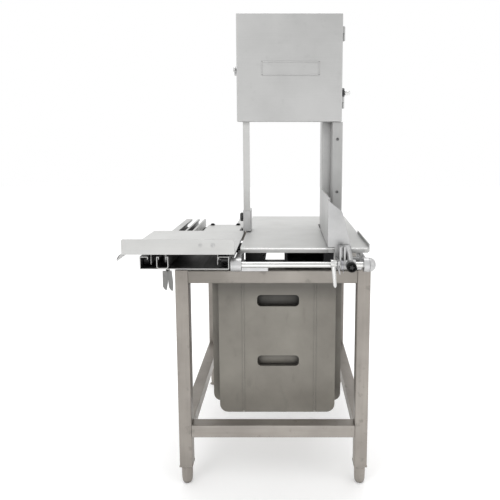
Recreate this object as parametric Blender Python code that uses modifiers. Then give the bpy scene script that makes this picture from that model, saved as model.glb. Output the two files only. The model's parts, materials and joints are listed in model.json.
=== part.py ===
"""Butcher's band saw on an open stand: two 356 mm wheels, sliding carriage, gauge fence and swing-open head.

Metres, +Z up.  Every position below is in the stand's frame: X = 0 is the middle of the stand, Y = 0 is the
front face of its front legs (+Y goes away from the operator) and Z = 0 is the floor when the feet are screwed
fully in.  All objects hang from one empty, which moves the bottom centre of the whole saw to the world origin.
"""

import math

import bmesh
import bpy
from mathutils import Matrix, Vector

# ---------------------------------------------------------------- driving dimensions
TUBE = 0.048
TUBE_WALL = 0.0025
STAND_X = 0.3515
STAND_DEPTH = 0.811
RAIL_TOP = 0.816
LOW_RAIL_TOP = 0.225
FOOT_HEIGHT = 0.059
FEET_OUT = 0.013
GAP = 0.0003

WHEEL_RADIUS = 0.1774
WHEEL_X = 0.065
UPPER_WHEEL_Z = 1.5515
LOWER_WHEEL_Z = 0.4845
WHEEL_FRONT = 0.249
WHEEL_WIDTH = 0.022
WHEEL_STEPS = 32
BLADE_THICK = 0.0008
BLADE_Y = (0.252, 0.268)
SHAFT_RADIUS = 0.0122
BORE_RADIUS = 0.0125
BEARING_RADIUS = 0.0259

HEAD_X = (-0.141, 0.263)
HEAD_Z = (1.350, 1.753)
DOOR_Y = (0.198, 0.232)
CASE_Y = (0.2323, 0.2900)
SKIN = 0.0025
HINGE_X = 0.2690
HINGE_Y = 0.2265
HINGES_Z = ((1.402, 1.446), (1.657, 1.709))
LATCH_X = (-0.1535, -0.1452)
LATCH_Y = 0.250
LATCH_Z = 1.5475

COLUMN_X = (0.195, 0.268)
COLUMN_Y = (0.2905, 0.400)
COLUMN_Z = (0.8295, 1.700)
COVER_X = (0.229, 0.2685)
COVER_Y = (0.210, 0.2900)

TABLE_TOP = 0.915
TABLE_Y = (-0.073, 0.641)
TABLE_LEFT = -0.109
SEAM_X = 0.190
WING_RIGHT = 0.332

TRAY_X = (-0.485, -0.1185)
TRAY_Y = (-0.168, 0.249)
SHEET = 0.0025
TRACK_Y = (-0.152, 0.641)
TRACK_X = (-0.430, -0.139)
TRACK_Z = (0.860, 0.902)
STRUT_X = (-0.3755, -0.3370)
ROLLERS_Y = (-0.100, 0.210)
ROLLER_Z = 0.881
ROLLER_RADIUS = 0.0175

BAR_Y = -0.130
BAR_Z = 0.870
BAR_RADIUS = 0.010
COLLAR_X = (0.3020, 0.3200)
PLATE_X = (0.188, 0.196)
LEVER_PIVOT = (0.200, -0.158, 0.882)
KNOB_AXIS = (0.2577, -0.150, 0.872)

CASE_LOW_X = (-0.253, 0.276)
CASE_LOW_Y = (0.238, 0.335)
CASE_LOW_Z = (0.194, 0.775)
DOOR_LOW_X = (-0.215, 0.242)
DOOR_LOW_Y = (0.138, 0.2377)
DOOR_LOW_Z = (0.200, 0.788)
POCKETS_Z = ((0.393, 0.436), (0.636, 0.682))
POCKETS_X = (-0.0644, 0.0992)

GEAR_TEETH = 40
PINION_TEETH = 20
MODULE = 0.004
MOTOR_Z = LOWER_WHEEL_Z + MODULE * (GEAR_TEETH + PINION_TEETH) / 2
MOTOR_RADIUS = 0.085

SLIDE_X = (0.0345, 0.0955)
PINION_SHAFT_Y = 0.3572
PINION_SHAFT_Z = 1.474
GUIDE_X = (-0.120, -0.094)

# ---------------------------------------------------------------- scene and materials
for old in list(bpy.data.objects):
    bpy.data.objects.remove(old, do_unlink=True)

saw = bpy.data.collections.new("bone_saw")
bpy.context.scene.collection.children.link(saw)
origin = bpy.data.objects.new("bone_saw_origin", None)
saw.objects.link(origin)


def material(name, colour, metallic, roughness):
    made = bpy.data.materials.new(name)
    made.use_nodes = True
    shader = made.node_tree.nodes["Principled BSDF"]
    shader.inputs["Base Color"].default_value = (*colour, 1)
    shader.inputs["Metallic"].default_value = metallic
    shader.inputs["Roughness"].default_value = roughness
    return made


STAND_STEEL = material("stand_steel", (0.34, 0.31, 0.28), 0.9, 0.38)
SATIN_STEEL = material("satin_steel", (0.62, 0.62, 0.61), 0.8, 0.4)
CASTING = material("casting", (0.62, 0.62, 0.62), 0.9, 0.45)
BRIGHT_STEEL = material("bright_steel", (0.75, 0.75, 0.74), 1.0, 0.2)
CASE_PAINT = material("case_paint", (0.24, 0.22, 0.19), 0.1, 0.5)
DARK_PAINT = material("dark_paint", (0.02, 0.02, 0.02), 0.1, 0.5)
BLACK_PLASTIC = material("black_plastic", (0.015, 0.015, 0.015), 0.0, 0.4)
WHEEL_IRON = material("wheel_iron", (0.35, 0.35, 0.35), 0.8, 0.5)
RED_PLASTIC = material("red_plastic", (0.5, 0.02, 0.02), 0.0, 0.4)
GREEN_PLASTIC = material("green_plastic", (0.02, 0.3, 0.05), 0.0, 0.4)
SPRING_STEEL = material("spring_steel", (0.4, 0.4, 0.42), 1.0, 0.3)


# ---------------------------------------------------------------- shape helpers
def as_object(mesh_maker):
    """A loose object from a bmesh."""
    mesh = bpy.data.meshes.new("work")
    mesh_maker.to_mesh(mesh)
    mesh_maker.free()
    made = bpy.data.objects.new("work", mesh)
    saw.objects.link(made)
    return made


def bake(obj):
    """Replaces an object by the mesh that its modifiers give, with loose caps welded."""
    graph = bpy.context.evaluated_depsgraph_get()
    mesh = bpy.data.meshes.new_from_object(obj.evaluated_get(graph), depsgraph=graph)
    maker = bmesh.new()
    maker.from_mesh(mesh)
    bmesh.ops.remove_doubles(maker, verts=maker.verts, dist=1e-6)
    bmesh.ops.recalc_face_normals(maker, faces=maker.faces)
    maker.to_mesh(mesh)
    maker.free()
    made = bpy.data.objects.new("work", mesh)
    saw.objects.link(made)
    made.matrix_world = obj.matrix_world.copy()
    bpy.data.objects.remove(obj, do_unlink=True)
    return made


def block(x, y, z, radius=0.0, along="XYZ", segments=2):
    """A box between two corners; the edges parallel to the named axes are rounded."""
    maker = bmesh.new()
    bmesh.ops.create_cube(maker, size=1.0)
    size = Vector((x[1] - x[0], y[1] - y[0], z[1] - z[0]))
    middle = Vector((x[0] + x[1], y[0] + y[1], z[0] + z[1])) / 2
    bmesh.ops.transform(maker, verts=maker.verts, matrix=Matrix.Translation(middle) @ Matrix.Diagonal((*size,
                                                                                                       1)))
    if radius:
        picked = []
        for edge in maker.edges:
            way = edge.verts[1].co - edge.verts[0].co
            axis = "XYZ"[max(range(3), key=lambda i: abs(way[i]))]
            if axis in along:
                picked.append(edge)
        bmesh.ops.bevel(maker, geom=picked, offset=radius, segments=segments, profile=0.5, affect="EDGES")
    return as_object(maker)


def turn_to(axis):
    return {"X": Matrix.Rotation(math.pi / 2, 4, "Y"), "Y": Matrix.Rotation(-math.pi / 2, 4, "X"),
            "Z": Matrix.Identity(4)}[axis]


def rod(axis, start, length, radius, end_radius=None, segments=24):
    """A cylinder or cone from a start point along +axis."""
    maker = bmesh.new()
    bmesh.ops.create_cone(maker, cap_ends=True, segments=segments, radius1=radius,
                          radius2=radius if end_radius is None else end_radius, depth=length)
    along = {"X": Vector((1, 0, 0)), "Y": Vector((0, 1, 0)), "Z": Vector((0, 0, 1))}[axis]
    place = Matrix.Translation(Vector(start) + along * length / 2) @ turn_to(axis)
    bmesh.ops.transform(maker, verts=maker.verts, matrix=place)
    return as_object(maker)


def strut(start, end, radius, segments):
    """A cylinder between two points."""
    start, end = Vector(start), Vector(end)
    maker = bmesh.new()
    bmesh.ops.create_cone(maker, cap_ends=True, segments=segments, radius1=radius, radius2=radius,
                          depth=(end - start).length)
    place = Matrix.Translation((start + end) / 2) @ (end - start).to_track_quat("Z", "X").to_matrix().to_4x4()
    bmesh.ops.transform(maker, verts=maker.verts, matrix=place)
    return as_object(maker)


def turned(profile, axis, centre, steps=32):
    """A turned shape: profile points are (radius, height) from the top of the outer side down."""
    mesh = bpy.data.meshes.new("profile")
    mesh.from_pydata([(r, 0, h) for r, h in profile], [(i, i + 1) for i in range(len(profile) - 1)], [])
    made = bpy.data.objects.new("work", mesh)
    saw.objects.link(made)
    made.matrix_world = Matrix.Translation(Vector(centre)) @ turn_to(axis)
    screw = made.modifiers.new("Screw", "SCREW")
    screw.axis = "Z"
    screw.steps = steps
    screw.render_steps = steps
    screw.use_merge_vertices = True
    screw.merge_threshold = 0.00005
    made = bake(made)
    return made


def ring(axis, start, length, outer, inner, steps=24):
    """A tube with square ends."""
    profile = [(outer, length), (outer, 0), (inner, 0), (inner, length), (outer, length)]
    return turned(profile, axis, start, steps)


def plate(outlines, y):
    """A flat piece in the XZ plane between two depths, from one outer outline and any holes in it."""
    curve = bpy.data.curves.new("outline", "CURVE")
    curve.dimensions = "2D"
    curve.fill_mode = "BOTH"
    curve.extrude = (y[1] - y[0]) / 2
    for points in outlines:
        spline = curve.splines.new("POLY")
        spline.points.add(len(points) - 1)
        for point, (x, z) in zip(spline.points, points):
            point.co = (x, z, 0, 1)
        spline.use_cyclic_u = True
    made = bpy.data.objects.new("work", curve)
    saw.objects.link(made)
    made.matrix_world = Matrix.Translation((0, sum(y) / 2, 0)) @ Matrix.Rotation(math.pi / 2, 4, "X")
    return bake(made)


def sheet_profile(points, thickness, y):
    """A folded strip: an open line of (x, z) points given a thickness to its left and drawn out along Y."""
    ways = [(Vector(b) - Vector(a)).normalized() for a, b in zip(points, points[1:])]
    left = [Vector((-w.y, w.x)) for w in ways]
    inner = []
    for i, point in enumerate(points):
        before = left[max(i - 1, 0)]
        after = left[min(i, len(left) - 1)]
        mitre = (before + after) / (1 + before.dot(after))
        inner.append(Vector(point) + mitre * thickness)
    outline = [tuple(p) for p in points] + [tuple(p) for p in reversed(inner)]
    return plate([outline], y)


def circle(radius, centre=(0, 0), count=32):
    return [(centre[0] + radius * math.cos(math.tau * i / count),
             centre[1] + radius * math.sin(math.tau * i / count))
            for i in range(count)]


def boolean(base, tools, operation):
    for tool in tools:
        modifier = base.modifiers.new("Boolean", "BOOLEAN")
        modifier.operation = operation
        modifier.solver = "EXACT"
        modifier.object = tool
    bpy.context.view_layer.update()
    made = bake(base)
    for tool in tools:
        bpy.data.objects.remove(tool, do_unlink=True)
    return made


def fuse(base, *others):
    return boolean(base, others, "UNION")


def cut(base, *others):
    return boolean(base, others, "DIFFERENCE")


def finish(obj, name, look, pivot=(0, 0, 0)):
    """Names the object, moves its origin to the pivot, hangs it from the saw's origin and sets its material."""
    obj.data.transform(obj.matrix_world)
    obj.matrix_world = Matrix.Identity(4)
    obj.data.transform(Matrix.Translation(-Vector(pivot)))
    obj.name = name
    obj.data.name = name
    obj.location = pivot
    obj.parent = origin
    obj.data.materials.clear()
    obj.data.materials.append(look)
    obj.data.shade_smooth()
    obj.data.set_sharp_from_angle(angle=math.radians(32))
    return obj


# ---------------------------------------------------------------- stand
def bar_and_hollow(x, y, z, along):
    """A square bar and the shape of the hollow inside it, which runs out through both ends."""
    hollow = {}
    for axis, (low, high) in {"X": x, "Y": y, "Z": z}.items():
        grow = 0.01 if axis == along else -TUBE_WALL
        hollow[axis] = (low - grow, high + grow)
    return block(x, y, z, radius=0.004, along=along), block(hollow["X"], hollow["Y"], hollow["Z"])


def foot(name, x, y):
    """A bullet foot on a threaded stem that screws into the leg's end plate."""
    profile = [(0, 0.095), (0.008, 0.095), (0.008, FOOT_HEIGHT - GAP), (0.021, FOOT_HEIGHT - GAP),
               (0.0205, 0.026 - FEET_OUT), (0.0192, 0.012 - FEET_OUT), (0.0162, 0.003 - FEET_OUT),
               (0.0125, -FEET_OUT), (0, -FEET_OUT)]
    middle = (x + TUBE / 2, y + TUBE / 2, 0)
    finish(turned(profile, "Z", middle, 16), name, STAND_STEEL, middle)


def side_frame(name, x):
    """Two legs with their end plates, welded to a top and a lower side rail."""
    back = STAND_DEPTH - TUBE
    overhang = 0.001
    solids = []
    hollows = []
    for y in (0.0, back):
        leg = block((x, x + TUBE), (y, y + TUBE), (FOOT_HEIGHT + 0.003, RAIL_TOP), radius=0.004, along="Z")
        end_plate = block((x - overhang, x + TUBE + overhang), (y - overhang, y + TUBE + overhang),
                          (FOOT_HEIGHT, FOOT_HEIGHT + 0.0045))
        solids += [leg, end_plate]
        hollows.append(block((x + TUBE_WALL, x + TUBE - TUBE_WALL), (y + TUBE_WALL, y + TUBE - TUBE_WALL),
                             (FOOT_HEIGHT + 0.0045, RAIL_TOP - TUBE_WALL)))
        hollows.append(rod("Z", (x + TUBE / 2, y + TUBE / 2, FOOT_HEIGHT - 0.01), 0.03, 0.0083))
    for top in (RAIL_TOP, LOW_RAIL_TOP):
        inset = 0.0001
        solids.append(block((x + inset, x + TUBE - inset), (TUBE - 0.005, back + 0.005),
                            (top - TUBE, top - inset)))
        hollows.append(block((x + TUBE_WALL + inset, x + TUBE - TUBE_WALL - inset),
                             (TUBE / 2, back + TUBE / 2),
                             (top - TUBE + TUBE_WALL, top - TUBE_WALL - inset)))
    finish(cut(fuse(*solids), *hollows), name, STAND_STEEL)


def build_stand():
    left, right = -STAND_X, STAND_X - TUBE
    back = STAND_DEPTH - TUBE
    for side, x in (("left", left), ("right", right)):
        side_frame(f"side_frame_{side}", x)
        for end, y in (("front", 0.0), ("back", back)):
            foot(f"foot_{end}_{side}", x, y)
    between = (left + TUBE + GAP, right - GAP)
    for level, top in (("top", RAIL_TOP), ("lower", LOW_RAIL_TOP)):
        for end, y in (("front", 0.0), ("back", back)):
            bar, hollow = bar_and_hollow(between, (y, y + TUBE), (top - TUBE, top), "X")
            finish(cut(bar, hollow), f"{level}_rail_{end}", STAND_STEEL)


def build_machine_base():
    """Two black cast beams and a cross plate, which carry the table, the column and the lower case."""
    low, high = RAIL_TOP + GAP, TABLE_TOP - 0.005 - GAP
    y = (0.030, 0.630)
    left_beam = cut(block((-0.100, -0.032), y, (low, high)),
                    plate([[(-0.046, high + 0.001), (-0.030, low + 0.02), (-0.02, high + 0.001)]],
                          (0.0, 0.85)))
    right_beam = block((0.042, 0.1945), y, (low, high))
    hollow = block((0.052, 0.1845), (0.0, 0.85), (low + 0.012, high - 0.01))
    right_beam = cut(right_beam, hollow)
    tails = [block(x, (0.600, 0.800), (low, 0.880)) for x in ((-0.098, -0.050), (0.048, 0.188))]
    cross = block((-0.320, 0.320), (0.285, 0.420), (low, COLUMN_Z[0] - GAP))
    front_arm = block((0.190, 0.320), (0.060, 0.090), (high - 0.022, high))
    back_arm = block((0.190, 0.320), (0.560, 0.590), (high - 0.022, high))
    outrigger = block((0.188, 0.2215), (0.031, 0.180), (low + 0.001, high - 0.0005))
    finish(fuse(left_beam, right_beam, *tails, cross, front_arm, back_arm, outrigger), "machine_base", DARK_PAINT)


# ---------------------------------------------------------------- lower case, drive and motor
def build_lower_case():
    shell = block(CASE_LOW_X, CASE_LOW_Y, CASE_LOW_Z, 0.030, "Y", 4)
    wall = 0.003
    inner = block((CASE_LOW_X[0] + wall, CASE_LOW_X[1] - wall), (CASE_LOW_Y[0] + wall, CASE_LOW_Y[1] - wall),
                  (CASE_LOW_Z[0] + wall, CASE_LOW_Z[1] - wall), 0.027, "Y", 4)
    mouth = block((-0.205, 0.232), (CASE_LOW_Y[0] - 0.01, CASE_LOW_Y[0] + 0.01), (0.210, 0.765), 0.012, "Y",
                  3)
    blade_left = WHEEL_X - WHEEL_RADIUS
    blade_right = WHEEL_X + WHEEL_RADIUS
    slots = [block((x - 0.010, x + 0.010), (0.244, 0.276), (CASE_LOW_Z[1] - 0.01, CASE_LOW_Z[1] + 0.01))
             for x in (blade_left, blade_right)]
    shaft_hole = rod("Y", (WHEEL_X, CASE_LOW_Y[1] - 0.02, LOWER_WHEEL_Z), 0.04, 0.030, segments=32)
    shell = cut(shell, inner, mouth, *slots, shaft_hole)
    hangers = [block(x, (0.285, 0.325), (CASE_LOW_Z[1] - 0.002, RAIL_TOP)) for x in ((-0.095, -0.045),
                                                                                     (0.100, 0.160))]
    runners = [block(x, (0.240, 0.333), (0.196, 0.2102)) for x in ((-0.170, -0.150), (0.160, 0.180))]
    finish(fuse(shell, *hangers, *runners), "lower_case", CASE_PAINT)


def build_lower_door():
    """A deep pressed cover with two hand pockets; it pulls straight off towards the front."""
    wall = 0.003
    shell = block(DOOR_LOW_X, DOOR_LOW_Y, DOOR_LOW_Z, 0.033, "Y", 5)
    ribs = [block((x - 0.0035, x + 0.0035), (DOOR_LOW_Y[0] - 0.002, DOOR_LOW_Y[0] + 0.01), (0.208, 0.780))
            for x in (-0.1196, 0.162)]
    shell = fuse(shell, *ribs)
    inner = block((DOOR_LOW_X[0] + wall, DOOR_LOW_X[1] - wall), (DOOR_LOW_Y[0] + wall, DOOR_LOW_Y[1] + 0.01),
                  (DOOR_LOW_Z[0] + wall, DOOR_LOW_Z[1] - wall), 0.030, "Y", 5)
    shell = cut(shell, inner)
    depth = 0.024
    dishes = []
    pockets = []
    for low, high in POCKETS_Z:
        front = DOOR_LOW_Y[0]
        dishes.append(block((POCKETS_X[0] - wall, POCKETS_X[1] + wall), (front + 0.001, front + depth + wall),
                            (low - wall, high + wall), 0.018, "Y", 4))
        pockets.append(block(POCKETS_X, (front - 0.01, front + depth), (low, high), 0.015, "Y", 4))
    shell = fuse(shell, *dishes)
    finish(cut(shell, *pockets), "lower_door", CASE_PAINT)


def build_sawdust_pan():
    x, y, z = (-0.190, 0.200), (0.246, 0.328), (0.2105, 0.285)
    wall = 0.0015
    outer = block(x, y, z, 0.006, "Y", 2)
    inner = block((x[0] + wall, x[1] - wall), (y[0] + wall, y[1] - wall), (z[0] + wall, z[1] + 0.01), 0.005,
                  "Z", 2)
    lip = block((-0.030, 0.040), (y[0] - 0.012, y[0] + 0.001), (z[1] - 0.006, z[1] - 0.003))
    finish(fuse(cut(outer, inner), lip), "sawdust_pan", SATIN_STEEL)


def wheel_profile(bore):
    """A cast wheel: hub, thin web and a flanged rim; heights run from the front (0) to the back."""
    rim, hub, back = WHEEL_RADIUS, 0.036, WHEEL_WIDTH
    flange = rim + 0.003
    return [(rim, 0), (rim, back - 0.003), (flange, back - 0.003), (flange, back), (rim - 0.012, back),
            (rim - 0.012, 0.015), (hub, 0.015), (hub, back), (bore, back), (bore, 0), (hub, 0), (hub, 0.008),
            (rim - 0.012, 0.008), (rim - 0.012, 0), (rim, 0)][::-1]


def build_wheels():
    upper_centre = (WHEEL_X, WHEEL_FRONT, UPPER_WHEEL_Z)
    lower_centre = (WHEEL_X, WHEEL_FRONT, LOWER_WHEEL_Z)
    bearing_bore = BEARING_RADIUS + GAP
    holes = [[rod("Y", (WHEEL_X + 0.100 * math.cos(a), 0.24, z + 0.100 * math.sin(a)), 0.05, 0.028,
                  segments=14)
              for a in (math.tau * (i + 0.03) / 5 + math.pi / 2 for i in range(5))]
             for z in (UPPER_WHEEL_Z, LOWER_WHEEL_Z)]
    upper = cut(turned(wheel_profile(bearing_bore), "Y", upper_centre, WHEEL_STEPS), *holes[0])
    finish(upper, "upper_wheel", WHEEL_IRON, upper_centre)
    race = ring("Y", (WHEEL_X, WHEEL_FRONT + 0.0005, UPPER_WHEEL_Z), 0.021, BEARING_RADIUS, BORE_RADIUS)
    finish(race, "upper_bearing", BRIGHT_STEEL, upper_centre)
    lower = cut(turned(wheel_profile(BORE_RADIUS), "Y", lower_centre, WHEEL_STEPS), *holes[1])
    finish(lower, "lower_wheel", WHEEL_IRON, lower_centre)
    nut = rod("Y", (WHEEL_X, WHEEL_FRONT - 0.012, UPPER_WHEEL_Z), 0.0117, 0.017, segments=6)
    shaft = rod("Y", (WHEEL_X, WHEEL_FRONT - 0.006, UPPER_WHEEL_Z), 0.100, SHAFT_RADIUS)
    finish(fuse(shaft, nut), "upper_shaft", BRIGHT_STEEL, (WHEEL_X, 0.292, UPPER_WHEEL_Z))
    nut = rod("Y", (WHEEL_X, WHEEL_FRONT - 0.012, LOWER_WHEEL_Z), 0.0117, 0.017, segments=6)
    shaft = rod("Y", (WHEEL_X, WHEEL_FRONT - 0.006, LOWER_WHEEL_Z), 0.168, SHAFT_RADIUS)
    finish(fuse(shaft, nut), "lower_shaft", BRIGHT_STEEL, lower_centre)


def gear_outline(teeth, turn):
    """A spur gear's outline with straight-sided teeth, on the pitch radius that its module gives."""
    pitch = MODULE * teeth / 2
    tip, root = pitch + 0.0030, pitch - 0.0042
    step = math.tau / teeth
    points = []
    for i in range(teeth):
        middle = turn + i * step
        for radius, share in ((root, -0.30), (tip, -0.14), (tip, 0.14), (root, 0.30)):
            angle = middle + share * step
            points.append((radius * math.cos(angle), radius * math.sin(angle)))
    return points


def gear(centre_z, teeth, turn, bore):
    width = (0.366, 0.384)
    outer = [(WHEEL_X + x, centre_z + z) for x, z in gear_outline(teeth, turn)]
    return plate([outer, circle(bore, (WHEEL_X, centre_z), 24)], width)


def build_drive():
    wall = 0.004
    y = (CASE_LOW_Y[1] + GAP, 0.420)
    x, z = (WHEEL_X - 0.105, WHEEL_X + 0.105), (LOWER_WHEEL_Z - 0.105, MOTOR_Z + 0.070)
    outer = block(x, y, z, 0.035, "Y", 4)
    inner = block((x[0] + wall, x[1] - wall), (y[0] + 0.020, y[1] + 0.01), (z[0] + wall, z[1] - wall), 0.031,
                  "Y", 4)
    bore = rod("Y", (WHEEL_X, y[0] - 0.01, LOWER_WHEEL_Z), 0.05, BEARING_RADIUS + GAP, segments=32)
    finish(cut(outer, inner, bore), "gear_case", CASTING)

    cover_y = (y[1] + GAP, y[1] + 0.008)
    cover = block(x, cover_y, z, 0.035, "Y", 4)
    boss = rod("Y", (WHEEL_X, y[1] - 0.022, LOWER_WHEEL_Z), 0.024, 0.034, segments=32)
    cover = fuse(cover, boss)
    pocket = rod("Y", (WHEEL_X, y[1] - 0.03, LOWER_WHEEL_Z), 0.0302, BEARING_RADIUS + GAP, segments=32)
    motor_hole = rod("Y", (WHEEL_X, y[1] - 0.01, MOTOR_Z), 0.03, 0.020, segments=24)
    finish(cut(cover, pocket, motor_hole), "gear_case_cover", CASTING)

    for end, start in (("front", y[0] + 0.003), ("back", y[1] - 0.020)):
        race = ring("Y", (WHEEL_X, start, LOWER_WHEEL_Z), 0.014, BEARING_RADIUS, BORE_RADIUS)
        finish(race, f"lower_bearing_{end}", BRIGHT_STEEL)

    gear_centre = (WHEEL_X, WHEEL_FRONT, LOWER_WHEEL_Z)
    finish(gear(LOWER_WHEEL_Z, GEAR_TEETH, 0.0, BORE_RADIUS), "drive_gear", WHEEL_IRON, gear_centre)
    rotor_centre = (WHEEL_X, 0.375, MOTOR_Z)
    pinion = gear(MOTOR_Z, PINION_TEETH, math.pi / PINION_TEETH, 0.0090)
    shaft = rod("Y", (WHEEL_X, 0.362, MOTOR_Z), 0.140, 0.011)
    finish(fuse(shaft, pinion), "motor_shaft_pinion", BRIGHT_STEEL, rotor_centre)

    motor_y = cover_y[1] + GAP
    length = 0.250
    radius = MOTOR_RADIUS
    profile = [(0.0115, 0), (0.0115, 0.090), (0, 0.090), (0, length), (0.045, length),
               (radius - 0.012, length - 0.010),
               (radius - 0.004, length - 0.030), (radius, length - 0.034), (radius, 0.034), (radius - 0.004,
                                                                                             0.030),
               (radius - 0.004, 0.012), (0.055, 0), (0.0115, 0)]
    motor = turned(profile, "Y", (WHEEL_X, motor_y, MOTOR_Z), 24)
    terminal = block((WHEEL_X + radius - 0.020, WHEEL_X + radius + 0.042), (motor_y + 0.070, motor_y + 0.170),
                     (MOTOR_Z - 0.040, MOTOR_Z + 0.040), 0.006, "XYZ", 2)
    gland = rod("Z", (WHEEL_X + radius + 0.015, motor_y + 0.120, MOTOR_Z - 0.058), 0.022, 0.012, segments=12)
    finish(fuse(motor, terminal, gland), "motor", DARK_PAINT)


def build_scraper():
    scraper = block((0.050, 0.080), (0.250, CASE_LOW_Y[1] - 0.003 - GAP),
                    (0.289, LOWER_WHEEL_Z - WHEEL_RADIUS - 0.0045))
    finish(scraper, "wheel_scraper", BLACK_PLASTIC)


def build_blade():
    """An endless steel band round both wheels, toothed edge to the front."""
    count = 20
    radius = (WHEEL_RADIUS + GAP) / math.cos(math.pi / count / 2)
    loop = []
    for turn in range(count + 1):
        angle = math.pi * turn / count
        loop.append((WHEEL_X + radius * math.cos(angle), UPPER_WHEEL_Z + radius * math.sin(angle)))
    for turn in range(count + 1):
        angle = math.pi + math.pi * turn / count
        loop.append((WHEEL_X + radius * math.cos(angle), LOWER_WHEEL_Z + radius * math.sin(angle)))
    mesh = bpy.data.meshes.new("band")
    front = [(x, BLADE_Y[0], z) for x, z in loop]
    back = [(x, BLADE_Y[1], z) for x, z in loop]
    total = len(loop)
    faces = [(i, (i + 1) % total, total + (i + 1) % total, total + i) for i in range(total)]
    mesh.from_pydata(front + back, [], faces)
    made = bpy.data.objects.new("work", mesh)
    saw.objects.link(made)
    shell = made.modifiers.new("Solidify", "SOLIDIFY")
    shell.thickness = BLADE_THICK
    shell.offset = -1.0
    finish(bake(made), "blade", BRIGHT_STEEL)


# ---------------------------------------------------------------- column and head
def build_column():
    post = block(COLUMN_X, COLUMN_Y, COLUMN_Z, 0.006, "Z", 3)
    hollow = block((COLUMN_X[0] + 0.005, COLUMN_X[1] - 0.005), (COLUMN_Y[0] + 0.005, COLUMN_Y[1] - 0.005),
                   (COLUMN_Z[0] - 0.01, COLUMN_Z[1] + 0.01))
    post = cut(post, hollow)
    arm = block((-0.030, COLUMN_X[0] + 0.004), (COLUMN_Y[0], 0.372), (1.415, 1.690))
    window = block((SLIDE_X[0] - GAP, SLIDE_X[1] + GAP), (0.28, 0.39), (1.435, 1.668))
    arm = cut(arm, window)
    pinion_room = rod("X", (SLIDE_X[0] - 0.01, PINION_SHAFT_Y, PINION_SHAFT_Z), 0.30, 0.0065, segments=20)
    pinion_space = rod("X", (0.045, PINION_SHAFT_Y, PINION_SHAFT_Z), 0.052, 0.0125, segments=20)
    finish(cut(fuse(post, arm), pinion_room, pinion_space), "column", SATIN_STEEL)


def build_column_cover():
    """A proud channel in front of the column that encloses the returning blade."""
    z = (0.918, HEAD_Z[0] - 0.0005)
    wall = 0.002
    outer = block(COVER_X, COVER_Y, z, 0.004, "Z", 2)
    inner = block((COVER_X[0] + wall, COVER_X[1] - wall), (COVER_Y[0] + wall, COVER_Y[1] + 0.01),
                  (z[0] - 0.01, z[1] + 0.01))
    screws = [rod("Y", (0.2488, COVER_Y[0] - 0.0030, height), 0.0040, 0.0048,
                  segments=12) for height in (1.077, 1.283)]
    finish(fuse(cut(outer, inner), *screws), "column_cover", SATIN_STEEL)


def knuckle(z):
    return rod("Z", (HINGE_X, HINGE_Y, z[0]), z[1] - z[0], 0.0055, segments=16)


def pin_hole(z):
    return rod("Z", (HINGE_X, HINGE_Y, z[0] - 0.01), z[1] - z[0] + 0.02, 0.0026, segments=12)


def build_head_case():
    """The fixed back pan of the head, open towards the door."""
    inset = 0.002
    x = (HEAD_X[0] + inset, HEAD_X[1] - inset)
    z = (HEAD_Z[0] + inset, HEAD_Z[1] - inset)
    shell = block(x, CASE_Y, z, 0.004, "Y", 2)
    inner = block((x[0] + SKIN, x[1] - SKIN), (CASE_Y[0] - 0.01, CASE_Y[1] - SKIN),
                  (z[0] + SKIN, z[1] - SKIN))
    shaft_slot = block((WHEEL_X - 0.020, WHEEL_X + 0.020), (0.28, 0.30),
                       (UPPER_WHEEL_Z - 0.028, UPPER_WHEEL_Z + 0.028))
    blade_left = block((-0.1305, -0.085), (0.20, 0.282), (z[0] - 0.01, z[0] + 0.01))
    blade_right = block((0.232, 0.254), (0.20, 0.282), (z[0] - 0.01, z[0] + 0.01))
    shell = cut(shell, inner, shaft_slot, blade_left, blade_right)
    leaves = []
    for low, high in HINGES_Z:
        half = (low, (low + high) / 2 - GAP)
        leaves.append(block((x[1] - 0.0015, HINGE_X + 0.001), (CASE_Y[0] + GAP, 0.2390), half))
        leaves.append(block((HEAD_X[1] + 0.0010, HINGE_X + 0.001), (HINGE_Y + 0.001, 0.2390), half))
        leaves.append(knuckle(half))
    holes = [pin_hole(z_range) for z_range in HINGES_Z]
    pivot = rod("X", (LATCH_X[0] + 0.0005, LATCH_Y, LATCH_Z), x[0] + 0.002 - LATCH_X[0], 0.004, segments=16)
    shell = fuse(shell, *leaves, pivot)
    finish(cut(shell, *holes), "head_case", SATIN_STEEL)
    for end, (low, high) in zip(("lower", "upper"), HINGES_Z):
        pin = rod("Z", (HINGE_X, HINGE_Y, low - 0.001), high - low + 0.002, 0.0023, segments=12)
        finish(pin, f"hinge_pin_{end}", BRIGHT_STEEL, (HINGE_X, HINGE_Y, low))


def build_head_door():
    shell = block(HEAD_X, DOOR_Y, HEAD_Z, 0.003, "XYZ", 2)
    inner = block((HEAD_X[0] + SKIN, HEAD_X[1] - SKIN), (DOOR_Y[0] + SKIN, DOOR_Y[1] + 0.01),
                  (HEAD_Z[0] + SKIN, HEAD_Z[1] - SKIN))
    guide_notch = block((-0.1255, -0.0900), (0.212, 0.240), (HEAD_Z[0] - 0.01, HEAD_Z[0] + 0.01))
    blade_notch = block((0.232, 0.254), (0.2250, 0.240), (HEAD_Z[0] - 0.01, HEAD_Z[0] + 0.01))
    shell = cut(shell, inner, guide_notch, blade_notch)
    bar = block((-0.045, 0.175), (DOOR_Y[0] - 0.0015, DOOR_Y[0] + 0.001), (1.525, 1.577), 0.003, "Y", 2)
    leaves = []
    for low, high in HINGES_Z:
        half = ((low + high) / 2 + GAP, high)
        leaves.append(block((HEAD_X[1] - 0.0015, HINGE_X + 0.001), (HINGE_Y - 0.0125, HINGE_Y - 0.001), half))
        leaves.append(knuckle(half))
    shell = fuse(shell, bar, *leaves)
    holes = [pin_hole(z_range) for z_range in HINGES_Z]
    finish(cut(shell, *holes), "head_door", SATIN_STEEL, (HINGE_X, HINGE_Y, 1.5515))


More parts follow.
